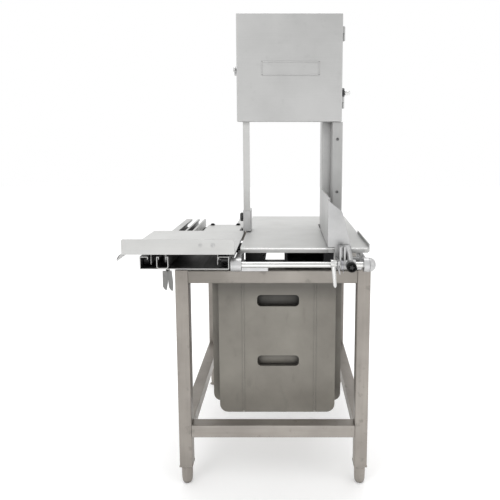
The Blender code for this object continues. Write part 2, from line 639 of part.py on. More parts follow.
def build_latch():
    """A two-lobed turn catch on the left of the head; its nose grips the door's side flange."""
    x = LATCH_X
    pivot_disc = rod("X", (x[0], LATCH_Y, LATCH_Z), x[1] - x[0], 0.0085, segments=20)
    arm = block(x, (0.216, 0.250), (LATCH_Z - 0.002, LATCH_Z + 0.008))
    nose = rod("X", (x[0], 0.2145, LATCH_Z + 0.002), x[1] - x[0], 0.0095, segments=20)
    tail = block(x, (0.250, 0.270), (LATCH_Z - 0.016, LATCH_Z - 0.004), 0.002, "X", 2)
    body = fuse(pivot_disc, arm, nose, tail)
    bore = rod("X", (x[0] - 0.01, LATCH_Y, LATCH_Z), 0.03, 0.0043, segments=16)
    finish(cut(body, bore), "door_latch", CASTING, (x[0], LATCH_Y, LATCH_Z))


def build_tension():
    """The upper wheel's slide, lifted by a rack and pinion from a knob on the head's right side."""
    slide = block(SLIDE_X, (0.2925, 0.3457), (1.462, 1.640))
    bore = rod("Y", (WHEEL_X, 0.28, UPPER_WHEEL_Z), 0.08, BORE_RADIUS, segments=32)
    finish(cut(slide, bore), "tension_slide", CASTING, (WHEEL_X, 0.319, UPPER_WHEEL_Z))

    start = SLIDE_X[0] + 0.014
    shaft = rod("X", (start, PINION_SHAFT_Y, PINION_SHAFT_Z), 0.276 - start, 0.0060, segments=20)
    pinion = rod("X", (start, PINION_SHAFT_Y, PINION_SHAFT_Z), 0.030, 0.0112, segments=20)
    knob_start = COLUMN_X[1] + 0.001
    grip = rod("X", (knob_start, PINION_SHAFT_Y, PINION_SHAFT_Z), 0.023, 0.0150, segments=20)
    handle = rod("X", (knob_start + 0.020, PINION_SHAFT_Y, PINION_SHAFT_Z), 0.0245, 0.0105, segments=20)
    lobes = [rod("X", (knob_start + 0.006, PINION_SHAFT_Y + 0.0135 * math.cos(a),
                       PINION_SHAFT_Z + 0.0135 * math.sin(a)),
                 0.015, 0.0065, segments=12) for a in (math.tau * i / 6 for i in range(6))]
    finish(fuse(shaft, pinion, grip, handle, *lobes), "tension_knob", BLACK_PLASTIC,
           (knob_start, PINION_SHAFT_Y, PINION_SHAFT_Z))

    wire, coil, turns = 0.0016, 0.0085, 4
    low, high = 1.435 + wire + GAP, 1.462 - wire - GAP
    count = turns * 8
    curve = bpy.data.curves.new("coil", "CURVE")
    curve.dimensions = "3D"
    curve.bevel_depth = wire
    curve.bevel_resolution = 2
    curve.use_fill_caps = True
    spline = curve.splines.new("POLY")
    spline.points.add(count)
    for i, point in enumerate(spline.points):
        angle = math.tau * turns * i / count
        point.co = (WHEEL_X + coil * math.cos(angle), 0.319 + coil * math.sin(angle),
                    low + (high - low) * i / count, 1)
    spring = bpy.data.objects.new("work", curve)
    saw.objects.link(spring)
    finish(bake(spring), "tension_spring", SPRING_STEEL)


def build_blade_guide():
    """The blade guard and upper guide, shown lowered to the table."""
    wall = 0.0025
    front = block(GUIDE_X, (0.218, 0.218 + wall), (1.0013, 1.420))
    side = block((GUIDE_X[0], GUIDE_X[0] + wall), (0.218, 0.280), (1.0013, 1.420))
    finish(fuse(front, side), "guide_post", SATIN_STEEL, (-0.107, 0.25, 1.0))
    body = block((-0.1225, -0.0915), (0.216, 0.300), (0.919, 1.001), 0.003, "Z", 2)
    blade_x = WHEEL_X - WHEEL_RADIUS
    slot = block((blade_x - 0.0030, blade_x + 0.0030), (0.248, 0.31), (0.90, 1.02))
    stud_hole = rod("X", (-0.13, 0.232, 0.974), 0.024, 0.0043, segments=12)
    finish(cut(body, slot, stud_hole), "guide_block", CASTING, (-0.107, 0.25, 1.0))
    stud = rod("X", (-0.128, 0.232, 0.974), 0.018, 0.0040, segments=12)
    hub = rod("X", (-0.1345, 0.232, 0.974), 0.0115, 0.0140, segments=20)
    lobes = [rod("X", (-0.1340, 0.232 + 0.0130 * math.cos(a), 0.974 + 0.0130 * math.sin(a)), 0.0100, 0.0062,
                 segments=12)
             for a in (math.tau * i / 5 + 0.3 for i in range(5))]
    finish(fuse(hub, stud, *lobes), "guide_knob", BLACK_PLASTIC, (-0.1285, 0.232, 0.974))


def build_switch():
    """Start and stop push buttons on the back of the column."""
    x, y, z = (0.205, 0.258), (COLUMN_Y[1] + GAP, 0.445), (1.120, 1.240)
    box = block(x, y, z, 0.004, "XYZ", 2)
    middle = sum(x) / 2
    finish(cut(box, rod("Y", (middle, 0.428, 1.205), 0.03, 0.0098),
               rod("Y", (middle, 0.428, 1.155), 0.03, 0.0098)),
           "switch_box", CASTING)
    for name, height, look, head in (("start_button", 1.205, GREEN_PLASTIC, 0.0094),
                                     ("stop_button", 1.155, RED_PLASTIC, 0.0150)):
        stem = rod("Y", (middle, 0.4345, height), 0.0165, 0.0094)
        if head > 0.0094:
            stem = fuse(stem, rod("Y", (middle, 0.4505, height), 0.0080, head, head * 0.85))
        finish(stem, name, look, (middle, 0.445, height))


# ---------------------------------------------------------------- table, carriage and gauge
def build_table():
    skin = 0.005
    rim_z = (TABLE_TOP - 0.018, TABLE_TOP - 0.001)
    x = (TABLE_LEFT, SEAM_X - GAP)
    top = block(x, TABLE_Y, (TABLE_TOP - skin, TABLE_TOP), 0.002, "X", 2)
    inset = 0.0002
    rim_x = (x[0] + inset, x[1] - inset)
    rims = [block(rim_x, y, rim_z) for y in ((TABLE_Y[0] + inset, TABLE_Y[0] + 0.004),
                                             (TABLE_Y[1] - 0.004, TABLE_Y[1] - inset))]
    finish(fuse(top, *rims), "main_table", SATIN_STEEL)

    x = (SEAM_X, WING_RIGHT)
    top = block(x, TABLE_Y, (TABLE_TOP - skin, TABLE_TOP), 0.002, "X", 2)
    rim_x = (x[0] + inset, x[1] - inset)
    front = block(rim_x, (TABLE_Y[0] + inset, TABLE_Y[0] + 0.004), rim_z)
    back = block(rim_x, (TABLE_Y[1] - 0.004, TABLE_Y[1] - inset), rim_z)
    lip = block((WING_RIGHT - 0.003, WING_RIGHT), (TABLE_Y[0], 0.189), (TABLE_TOP - 0.002, TABLE_TOP + 0.012))
    notch = block((SEAM_X - 0.01, COVER_X[1] + 0.001), (0.189, 0.405), (0.88, 0.93))
    taper = plate([[(0.318, 0.890), (0.340, 0.890), (0.340, 0.9095)]], (-0.08, -0.06))
    finish(cut(fuse(top, front, back, lip), notch, taper), "table_wing", SATIN_STEEL)


def build_carriage():
    """The sliding meat tray: floor, front fence, left drip edge and back deck."""
    top = TABLE_TOP
    floor = sheet_profile([(-0.4995, 0.893), (TRAY_X[0], top), (TRAY_X[1], top)], -SHEET, TRAY_Y)
    fence = block((-0.483, -0.1195), (TRAY_Y[0], TRAY_Y[0] + SHEET), (top - 0.002, top + 0.0476), 0.006, "Y",
                  3)
    deck = block((-0.286, -0.140), (TRAY_Y[1] - 0.010, 0.400), (top - SHEET - 0.0004, top - 0.0004))
    bolts = []
    for x in (-0.268, -0.158):
        bolts.append(rod("Z", (x, 0.388, top - 0.003), 0.0070, 0.0085, 0.0050, 16))
    under = top - SHEET + 0.0006
    length = (-0.130, 0.240)
    left = sheet_profile([(-0.375, under), (-0.400, under), (-0.400, 0.870)], 0.0025, length)
    right = sheet_profile([(-0.1775, 0.870), (-0.1775, under), (-0.2025, under)], 0.0025, length)
    fittings = [left, right]
    for y in ROLLERS_Y:
        fittings.append(rod("X", (-0.4255, y, ROLLER_Z), 0.0275, 0.0040, segments=12))
        fittings.append(rod("X", (-0.1795, y, ROLLER_Z), 0.0345, 0.0040, segments=12))
        fittings.append(rod("Z", (-0.35625, y, 0.872), top - 0.001 - 0.872, 0.0075, segments=16))
    tray = fuse(floor, fence, deck, *bolts, *fittings)
    finish(tray, "carriage_tray", SATIN_STEEL, (-0.3, 0.04, top))
    for end, y in zip(("front", "back"), ROLLERS_Y):
        for side, x, width in (("left", -0.4265, 0.0185), ("right", -0.1675, 0.0235)):
            roller = ring("X", (x, y, ROLLER_Z), width, ROLLER_RADIUS, 0.0043, 20)
            finish(roller, f"roller_{end}_{side}", BLACK_PLASTIC, (x, y, ROLLER_Z))


def build_track():
    """A wide channel with turned-in lips for the rollers, and a strut channel along it for the guide pins."""
    low, high = TRACK_Z
    wall = 0.0025
    lip = 0.009
    outer = sheet_profile([(-0.403, high - lip), (-0.403, high), (TRACK_X[0], high), (TRACK_X[0], low),
                           (TRACK_X[1], low), (TRACK_X[1], high), (-0.174, high), (-0.174,
                                                                                   high - lip)], wall, TRACK_Y)
    x0, x1 = STRUT_X
    base = low + wall - 0.0006
    strut = sheet_profile([(x0 + 0.008, high - lip), (x0 + 0.008, high), (x0, high), (x0, base + 0.005),
                           (x0 + 0.005, base), (x1 - 0.005, base), (x1, base + 0.005), (x1, high),
                           (x1 - 0.008, high), (x1 - 0.008, high - lip)], wall, TRACK_Y)
    supports = [block((-0.345, -0.160), y, (RAIL_TOP + GAP, low + 0.001)) for y in ((0.004, 0.044),
                                                                                    (0.600, 0.640))]
    supports.append(block((-0.3475, -0.3385), (-0.1434, -0.125), (0.843, low + 0.001)))
    finish(fuse(outer, strut, *supports), "carriage_track", SATIN_STEEL)


def leaf(middle, y, length, width, lean):
    """A flat strap with a rounded, narrowed end, hung from its top."""
    half = width / 2
    points = [(-half, 0.006), (half, 0.006), (half, -length * 0.55), (half * 0.45, -length),
              (-half * 0.3, -length * 0.97),
              (-half, -length * 0.8)]
    turn = Matrix.Rotation(lean, 2)
    outline = [(middle[0] + (turn @ Vector(p)).x, middle[1] + (turn @ Vector(p)).y) for p in points]
    return plate([outline], y)


def build_track_latch():
    """Two riveted straps that hang from the front end of the track and hold the carriage on it."""
    pivot = (-0.3430, -0.1480, 0.8490)
    one = leaf((-0.3485, 0.848), (-0.1500, -0.1475), 0.058, 0.0165, 0.0)
    two = leaf((-0.3350, 0.848), (-0.1478, -0.1450), 0.062, 0.0150, math.radians(6))
    rivet = rod("Y", (pivot[0], -0.1512, pivot[2]), 0.0075, 0.004, segments=12)
    finish(fuse(one, two, rivet), "track_latch", SATIN_STEEL, pivot)


def build_gauge():
    rest_z = TABLE_TOP + 0.0035
    slab = block(PLATE_X, (-0.0725, 0.258), (rest_z, 1.085), 0.002, "XYZ", 2)
    finish(slab, "gauge_plate", SATIN_STEEL, (0.19, BAR_Y, BAR_Z))

    right_side = PLATE_X[1] + GAP
    web = plate([[(PLATE_X[0], rest_z), (PLATE_X[0], 1.080), (0.2046, 1.064), (0.235, 1.040), (0.2456, 1.005),
                  (0.2525, 0.977), (0.266, 0.928), (0.268, 0.880), (0.2118, 0.880), (0.2118,
                                                                                     rest_z)]], (-0.086,
                                                                                                 -0.0735))
    pad = block((right_side, 0.2135), (-0.080, 0.040), (0.925, 1.050), 0.003, "X", 2)
    sleeve = rod("X", (0.2125, BAR_Y, BAR_Z), 0.0635, 0.0165, segments=32)
    base = block((0.2140, 0.2745), (-0.1300, -0.0820), (0.8600, 0.8850), 0.003, "X", 2)
    ribs = [block((x, x + 0.006), (-0.1395, -0.0800), (0.8740, 0.9300)) for x in (0.222, 0.236)]
    boss = rod("Y", (KNOB_AXIS[0], KNOB_AXIS[1], KNOB_AXIS[2]), 0.030, 0.0125, segments=20)
    arm = strut((KNOB_AXIS[0], -0.1370, 0.8770), (0.2548, -0.0800, 0.9210), 0.0110, 20)
    stub = rod("X", (0.2400, -0.101, 0.8790), 0.0520, 0.0110, segments=20)
    pivot = rod("X", (0.1915, LEVER_PIVOT[1], LEVER_PIVOT[2]), 0.024, 0.0040, segments=12)
    ear = block((0.2135, 0.2215), (-0.164, -0.145), (0.875, 0.889))
    bracket = fuse(fuse(sleeve, base, boss, arm, stub, ear, pivot), web, pad, *ribs)
    bore = rod("X", (0.15, BAR_Y, BAR_Z), 0.2, BAR_RADIUS + GAP, segments=32)
    screw_hole = rod("Y", (KNOB_AXIS[0], -0.16, KNOB_AXIS[2]), 0.025, 0.0043, segments=12)
    finish(cut(bracket, bore, screw_hole), "gauge_bracket", CASTING, (0.19, BAR_Y, BAR_Z))

    bar = rod("X", (-0.1300, BAR_Y, BAR_Z), 0.451, BAR_RADIUS, segments=32)
    dome = turned([(0, 0.022), (0.010, 0.0205), (0.018, 0.0155), (0.0225, 0.008), (0.0235, 0), (0, 0)], "X",
                  (COLLAR_X[1] + 0.0005, BAR_Y, BAR_Z), 32)
    finish(fuse(bar, dome), "gauge_bar", BRIGHT_STEEL, (0.0, BAR_Y, BAR_Z))

    left = fuse(rod("X", (-0.1345, BAR_Y, BAR_Z), 0.0345, 0.0225, segments=32),
                block((-0.1250, -0.1040), (BAR_Y, 0.026), (0.8540, 0.885), 0.003, "X", 2),
                block((-0.1248, -0.1042), (-0.0120, 0.0258), (0.8163, 0.883)),
                block((-0.1060, -0.0155), (-0.0120, 0.0290), (0.8163, 0.8290), 0.003, "Z", 2))
    left = cut(left, rod("X", (-0.1305, BAR_Y, BAR_Z), 0.05, BAR_RADIUS + GAP, segments=32))
    arm_x = (COLLAR_X[0] + 0.0015, COLLAR_X[1] - 0.0015)
    right = fuse(rod("X", (COLLAR_X[0], BAR_Y, BAR_Z), COLLAR_X[1] - COLLAR_X[0], 0.0235, segments=32),
                 block(arm_x, (BAR_Y, 0.045), (0.855, 0.882), 0.003, "X", 2),
                 block(arm_x, (0.006, 0.045), (0.8163, 0.882)))
    right = cut(right, rod("X", (0.28, BAR_Y, BAR_Z), 0.06, BAR_RADIUS + GAP, segments=32))
    finish(left, "bar_bracket_left", CASTING)
    finish(right, "bar_bracket_right", CASTING)

    hub = rod("X", (0.1915, LEVER_PIVOT[1], LEVER_PIVOT[2]), 0.0190, 0.0120, segments=24)
    handle = plate([[(0.1925, 0.8880), (0.2080, 0.8880), (0.2120, 0.8060), (0.2095, 0.8010), (0.2035, 0.8010),
                     (0.2010, 0.8060)]], (-0.1655, -0.1530))
    bore = rod("X", (0.18, LEVER_PIVOT[1], LEVER_PIVOT[2]), 0.04, 0.0043, segments=16)
    finish(cut(fuse(hub, handle), bore), "lock_lever", BRIGHT_STEEL, LEVER_PIVOT)

    grip = turned([(0, 0.0040), (0.0135, 0.0040), (0.0175, 0), (0.0175, -0.0215), (0.0150, -0.0250),
                   (0, -0.0250)], "Y",
                  (KNOB_AXIS[0], -0.1560, KNOB_AXIS[2]), 24)
    screw = rod("Y", (KNOB_AXIS[0], -0.1560, KNOB_AXIS[2]), 0.0155, 0.0040, segments=12)
    finish(fuse(grip, screw), "gauge_knob", BLACK_PLASTIC, KNOB_AXIS)


# ---------------------------------------------------------------- build and set down on the origin
build_stand()
build_machine_base()
build_lower_case()
build_lower_door()
build_sawdust_pan()
build_wheels()
build_drive()
build_scraper()
build_blade()
build_column()
build_column_cover()
build_head_case()
build_head_door()
build_latch()
build_tension()
build_blade_guide()
build_switch()
build_table()
build_carriage()
build_track()
build_track_latch()
build_gauge()

bpy.context.view_layer.update()
corners = [piece.matrix_world @ Vector(corner)
           for piece in saw.objects if piece.type == "MESH" for corner in piece.bound_box]
lowest = Vector([min(c[i] for c in corners) for i in range(3)])
highest = Vector([max(c[i] for c in corners) for i in range(3)])
origin.location = (-(lowest.x + highest.x) / 2, -(lowest.y + highest.y) / 2, -lowest.z)
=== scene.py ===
"""The looks of a butcher's band saw: brushed stainless sheet, castings, a painted lower door, black knobs."""

import json
import math

import bmesh
import bpy
from mathutils import Matrix, Vector


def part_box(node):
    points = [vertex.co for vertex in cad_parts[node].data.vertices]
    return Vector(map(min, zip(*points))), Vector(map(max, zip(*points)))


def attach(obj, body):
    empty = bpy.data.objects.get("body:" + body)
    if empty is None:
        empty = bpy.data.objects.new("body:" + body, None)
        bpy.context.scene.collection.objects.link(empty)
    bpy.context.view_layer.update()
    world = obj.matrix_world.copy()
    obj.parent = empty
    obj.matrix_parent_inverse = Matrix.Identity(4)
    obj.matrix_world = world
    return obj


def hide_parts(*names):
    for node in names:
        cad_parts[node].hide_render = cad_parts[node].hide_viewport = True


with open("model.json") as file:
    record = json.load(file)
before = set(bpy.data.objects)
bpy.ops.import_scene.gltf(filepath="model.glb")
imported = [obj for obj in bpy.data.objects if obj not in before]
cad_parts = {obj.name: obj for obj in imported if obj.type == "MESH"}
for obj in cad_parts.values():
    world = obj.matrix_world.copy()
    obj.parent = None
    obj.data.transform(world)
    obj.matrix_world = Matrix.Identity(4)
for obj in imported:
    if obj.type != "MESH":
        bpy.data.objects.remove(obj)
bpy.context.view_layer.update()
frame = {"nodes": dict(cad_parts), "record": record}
nodes = frame["nodes"]
TURN = {"X": Matrix.Rotation(math.pi / 2, 4, "Y"), "Y": Matrix.Rotation(-math.pi / 2, 4, "X"),
        "Z": Matrix.Identity(4)}


# ---------------------------------------------------------------- materials
class Graph:
    """A node tree with short calls for the nodes that the materials share."""

    def __init__(self, name):
        self.material = bpy.data.materials.new(name)
        self.material.use_nodes = True
        self.nodes = self.material.node_tree.nodes
        self.links = self.material.node_tree.links
        self.shader = self.nodes["Principled BSDF"]
        self.place = self.nodes.new("ShaderNodeTexCoord").outputs["Object"]

    def link(self, source, target):
        self.links.new(source, target)

    def noise(self, scale, detail=3.0, stretch=(1, 1, 1), rough=0.55):
        mapping = self.nodes.new("ShaderNodeMapping")
        mapping.inputs["Scale"].default_value = stretch
        self.link(self.place, mapping.inputs["Vector"])
        noise = self.nodes.new("ShaderNodeTexNoise")
        noise.inputs["Scale"].default_value = scale
        noise.inputs["Detail"].default_value = detail
        noise.inputs["Roughness"].default_value = rough
        self.link(mapping.outputs["Vector"], noise.inputs["Vector"])
        return noise.outputs["Fac"]

    def spread(self, value, low, high, start=0.3, stop=0.7):
        remap = self.nodes.new("ShaderNodeMapRange")
        remap.inputs["From Min"].default_value = start
        remap.inputs["From Max"].default_value = stop
        remap.inputs["To Min"].default_value = low
        remap.inputs["To Max"].default_value = high
        self.link(value, remap.inputs["Value"])
        return remap.outputs["Result"]

    def math(self, operation, first, second):
        node = self.nodes.new("ShaderNodeMath")
        node.operation = operation
        for socket, value in zip(node.inputs, (first, second)):
            if isinstance(value, (int, float)):
                socket.default_value = value
            else:
                self.link(value, socket)
        return node.outputs["Value"]

    def mix(self, factor, first, second):
        node = self.nodes.new("ShaderNodeMix")
        node.data_type = "RGBA"
        self.link(factor, node.inputs["Factor"])
        for socket, value in ((node.inputs[6], first), (node.inputs[7], second)):
            if isinstance(value, tuple):
                socket.default_value = (*value, 1)
            else:
                self.link(value, socket)
        return node.outputs[2]

    def edge(self, radius, low=0.02, high=0.25):
        """How much a point lies on an edge: the rounded normal turns away from the face's own."""
        bevel = self.nodes.new("ShaderNodeBevel")
        bevel.samples = 4
        bevel.inputs["Radius"].default_value = radius
        geometry = self.nodes.new("ShaderNodeNewGeometry")
        dot = self.nodes.new("ShaderNodeVectorMath")
        dot.operation = "DOT_PRODUCT"
        self.link(bevel.outputs["Normal"], dot.inputs[0])
        self.link(geometry.outputs["True Normal"], dot.inputs[1])
        turned = self.math("SUBTRACT", 1.0, dot.outputs["Value"])
        return bevel.outputs["Normal"], self.spread(turned, 0.0, 1.0, low, high)

    def recess(self, distance, low=0.15, high=0.65):
        """How deep a point lies in a corner or channel, for painted shade there."""
        shade = self.nodes.new("ShaderNodeAmbientOcclusion")
        shade.samples = 6
        shade.inputs["Distance"].default_value = distance
        return self.spread(shade.outputs["AO"], 1.0, 0.0, low, high)

    def bump(self, height, strength, distance, normal=None):
        bump = self.nodes.new("ShaderNodeBump")
        bump.inputs["Strength"].default_value = strength
        bump.inputs["Distance"].default_value = distance
        self.link(height, bump.inputs["Height"])
        if normal is not None:
            self.link(normal, bump.inputs["Normal"])
        self.link(bump.outputs["Normal"], self.shader.inputs["Normal"])


def brushed(name, light, dark, rough, grain, edge_radius=0.0012, metallic=0.85, stain=0.0, recess_shade=0.6,
            reach=0.03, depth=(0.15, 0.65)):
    """Brushed steel: fine lines along the grain, smears, edges lightened by wear and by a painted highlight,
    painted shade in the corners.
    """
    g = Graph(name)
    lines = g.noise(1.0, 4.0, grain, 0.7)
    clouds = g.noise(4.0, 4.0)
    smears = g.noise(9.0, 2.0, (1, 1, 0.35))
    tone = g.math("ADD", g.math("MULTIPLY", lines, 0.28), g.math("MULTIPLY", clouds, 0.72))
    colour = g.mix(g.spread(tone, 0.0, 1.0, 0.36, 0.64), dark, light)
    if stain:
        spots = g.spread(g.noise(30.0, 3.0), 0.0, stain, 0.62, 0.75)
        colour = g.mix(spots, colour, tuple(0.55 * c for c in dark))
    normal, edge_mask = g.edge(edge_radius)
    # Lighter edges: partly polish from wear, partly a painted highlight.
    colour = g.mix(g.math("MULTIPLY", edge_mask, 0.6), colour, tuple(min(1.0, 1.35 * c) for c in light))
    # Painted shade: darker in corners and channels, from ambient occlusion.
    colour = g.mix(g.math("MULTIPLY", g.recess(reach, *depth), recess_shade), colour, tuple(0.10 * c for c in dark))
    g.link(colour, g.shader.inputs["Base Color"])
    g.shader.inputs["Metallic"].default_value = metallic
    uneven = g.math("ADD", g.spread(lines, -0.05, 0.06), g.spread(smears, rough - 0.06, rough + 0.08))
    g.link(g.math("SUBTRACT", uneven, g.math("MULTIPLY", edge_mask, 0.08)), g.shader.inputs["Roughness"])
    g.bump(lines, 0.10, 0.0004, normal)
    return g.material


def cast(name, light, dark, rough, metallic=0.8, grit=420.0, edge_radius=0.0016):
    """Cast metal, tumbled: a fine pebbled skin, brighter buffed edges, and painted shade in the corners."""
    g = Graph(name)
    skin = g.noise(grit, 2.0)
    clouds = g.noise(14.0, 5.0)
    normal, edge_mask = g.edge(edge_radius, 0.01, 0.2)
    colour = g.mix(g.spread(clouds, 0.0, 1.0), dark, light)
    colour = g.mix(g.math("MULTIPLY", edge_mask, 0.7), colour, tuple(min(1.0, 1.3 * c) for c in light))
    # Painted shade: darker in corners, from ambient occlusion.
    colour = g.mix(g.math("MULTIPLY", g.recess(0.02), 0.42), colour, tuple(0.12 * c for c in dark))
    g.link(colour, g.shader.inputs["Base Color"])
    g.shader.inputs["Metallic"].default_value = metallic
    g.link(g.math("SUBTRACT", g.spread(clouds, rough - 0.05, rough + 0.1), g.math("MULTIPLY", edge_mask, 0.12)),
           g.shader.inputs["Roughness"])
    g.bump(skin, 0.25, 0.0004, normal)
    return g.material


def painted(name, light, dark, chip, rough, shade_z=None, peel=260.0, wear=0.35):
    """Paint over metal: orange peel, rubbed patches, edges wearing through towards the bare colour, painted
    shade in recesses, and with shade_z a painted shadow towards the top.
    """
    g = Graph(name)
    clouds = g.noise(5.0, 5.0)
    rubs = g.noise(22.0, 4.0, (1, 1, 0.5))
    normal, edge_mask = g.edge(0.0018, 0.02, 0.2)
    colour = g.mix(g.spread(clouds, 0.0, 1.0, 0.32, 0.68), dark, light)
    colour = g.mix(g.spread(rubs, 0.0, 0.5, 0.60, 0.78), colour, tuple(0.75 * c for c in dark))
    if shade_z:
        height = g.nodes.new("ShaderNodeSeparateXYZ")
        g.link(g.place, height.inputs[0])
        shadow = g.spread(height.outputs["Z"], 0.0, 0.75, *shade_z)
        colour = g.mix(shadow, colour, tuple(0.55 * c for c in dark))
    # Painted shade: darker in recesses, from ambient occlusion.
    shade_in_recess = g.math("MULTIPLY", g.recess(0.09, 0.30, 0.88), 0.85)
    colour = g.mix(shade_in_recess, colour, tuple(0.14 * c for c in dark))
    ragged = g.math("MULTIPLY", edge_mask, g.spread(rubs, 0.2, 1.0, 0.35, 0.6))
    colour = g.mix(g.math("MULTIPLY", ragged, wear), colour, chip)
    g.link(colour, g.shader.inputs["Base Color"])
    g.shader.inputs["Metallic"].default_value = 0.1
    g.link(g.spread(rubs, rough - 0.08, rough + 0.12), g.shader.inputs["Roughness"])
    g.bump(g.noise(peel, 2.0), 0.12, 0.0005, normal)
    return g.material


def plastic(name, light, dark, rough, coat=0.0):
    """Moulded plastic with a faint spark-eroded skin."""
    g = Graph(name)
    clouds = g.noise(40.0, 4.0)
    g.link(g.mix(g.spread(clouds, 0.0, 1.0), dark, light), g.shader.inputs["Base Color"])
    g.link(g.spread(clouds, rough - 0.05, rough + 0.1), g.shader.inputs["Roughness"])
    g.shader.inputs["Coat Weight"].default_value = coat
    normal, _ = g.edge(0.0008)
    g.bump(g.noise(900.0, 2.0), 0.15, 0.0003, normal)
    return g.material


SHEET_GRAIN = (5, 60, 320)
TUBE_GRAIN = (5, 90, 90)
LOWER_DOOR_SHADE = (0.665, 0.725)
MATT_SPECULAR = 0.15
LOOKS = {
    "stand_steel": brushed("stand_steel", (0.34, 0.315, 0.285), (0.235, 0.215, 0.195), 0.42, (90, 90, 5),
                           edge_radius=0.0015, metallic=0.7, stain=0.4),
    "satin_steel": brushed("satin_steel", (0.47, 0.47, 0.465), (0.40, 0.40, 0.395), 0.42, SHEET_GRAIN,
                           metallic=0.55, stain=0.12),
    "casting": cast("casting", (0.56, 0.56, 0.56), (0.38, 0.38, 0.38), 0.34),
    "bright_steel": brushed("bright_steel", (0.74, 0.74, 0.73), (0.55, 0.55, 0.54), 0.22, (6, 300, 300),
                            edge_radius=0.001, metallic=0.95, recess_shade=0.4, reach=0.02),
    "case_paint": painted("case_paint", (0.235, 0.222, 0.192), (0.175, 0.162, 0.140), (0.42, 0.41, 0.39),
                          0.45, LOWER_DOOR_SHADE),
    "dark_paint": painted("dark_paint", (0.020, 0.020, 0.021), (0.010, 0.010, 0.011), (0.12, 0.12, 0.12),
                          0.60),
    "black_plastic": plastic("black_plastic", (0.022, 0.022, 0.023), (0.010, 0.010, 0.010), 0.38),
    "wheel_iron": cast("wheel_iron", (0.42, 0.42, 0.42), (0.26, 0.26, 0.26), 0.36, metallic=0.85, grit=600.0),
    "red_plastic": plastic("red_plastic", (0.55, 0.025, 0.02), (0.42, 0.015, 0.012), 0.28, coat=0.4),
    "green_plastic": plastic("green_plastic", (0.02, 0.30, 0.06), (0.012, 0.22, 0.04), 0.28, coat=0.4),
    "spring_steel": brushed("spring_steel", (0.50, 0.50, 0.52), (0.34, 0.34, 0.36), 0.30, (40, 40, 160),
                            edge_radius=0.0006, metallic=0.9),
}

# Variants of the slots' looks, for single nodes and pieces that look lighter or darker: some have a tone of
# their own, some are lit and shaded copies that carry painted light and shade.
# Painted shade: a darker copy of the stand steel for the top rails.
SHADED_TOP_RAIL_STEEL = brushed("shaded_top_rail_steel", (0.285, 0.265, 0.240), (0.20, 0.185, 0.165), 0.42, TUBE_GRAIN,
                         edge_radius=0.0015, metallic=0.7, stain=0.4)
# Painted light: a lighter copy of the stand steel for the lower rails.
LIT_LOW_RAIL_STEEL = brushed("lit_low_rail_steel", (0.355, 0.33, 0.30), (0.25, 0.23, 0.21), 0.42, TUBE_GRAIN,
                         edge_radius=0.0015, metallic=0.7, stain=0.4)
TABLE_STEEL = brushed("table_steel", (0.53, 0.53, 0.52), (0.45, 0.45, 0.44), 0.42, SHEET_GRAIN,
                      edge_radius=0.0025, metallic=0.55, stain=0.12)
# Painted highlight: near-white steel for the rolled front edges of the table.
NOSING_HIGHLIGHT_STEEL = brushed("nosing_highlight_steel", (0.95, 0.95, 0.94), (0.82, 0.82, 0.81), 0.18, SHEET_GRAIN,
                       edge_radius=0.001, metallic=0.9, recess_shade=0.0)
# A darker tone of its own on the column cover; on the strips under the table's front edges it is painted
# shade.
COVER_STEEL = brushed("cover_steel", (0.40, 0.40, 0.395), (0.33, 0.33, 0.325), 0.45, (320, 60, 5),
                      metallic=0.55)
# Painted shade: the carriage track darkened deep in its channel under the tray, from ambient occlusion.
TRACK_SHADE_STEEL = brushed("track_shade_steel", (0.50, 0.50, 0.49), (0.34, 0.34, 0.33), 0.35, (300, 4, 300),
                       edge_radius=0.0010, metallic=0.6, stain=0.3, recess_shade=1.0, reach=0.16, depth=(0.30, 0.62))
STRAP_STEEL = brushed("strap_steel", (0.24, 0.24, 0.235), (0.14, 0.14, 0.135), 0.40, (300, 60, 6),
                      edge_radius=0.0010, metallic=0.7, stain=0.5)
SOCKET_STEEL = brushed("socket_steel", (0.25, 0.25, 0.25), (0.16, 0.16, 0.16), 0.40, (300, 8, 300),
                       edge_radius=0.0010, metallic=0.7, stain=0.4)
GAUGE_CASTING = cast("gauge_casting", (0.46, 0.46, 0.46), (0.33, 0.33, 0.33), 0.38)
# Painted highlight: the door's pressed beads lighter than the door paint.
BEAD_HIGHLIGHT_PAINT = painted("bead_highlight_paint", (0.40, 0.385, 0.345), (0.33, 0.315, 0.28), (0.46, 0.45, 0.43), 0.35,
                     LOWER_DOOR_SHADE)
# Painted shade: dark paint for the floor of the hand pocket under the table.
POCKET_SHADE_PAINT = painted("pocket_shade_paint", (0.080, 0.077, 0.068), (0.055, 0.052, 0.045), (0.20, 0.19, 0.18), 0.6)
MOTOR_PAINT = painted("motor_paint", (0.052, 0.054, 0.056), (0.036, 0.037, 0.039), (0.30, 0.30, 0.30), 0.48)
KNOB_BLACK = plastic("knob_rim", (0.0050, 0.0050, 0.0052), (0.0025, 0.0025, 0.0025), 0.45)
for matt in (LOOKS["dark_paint"], KNOB_BLACK):
    matt.node_tree.nodes["Principled BSDF"].inputs["Specular IOR Level"].default_value = MATT_SPECULAR

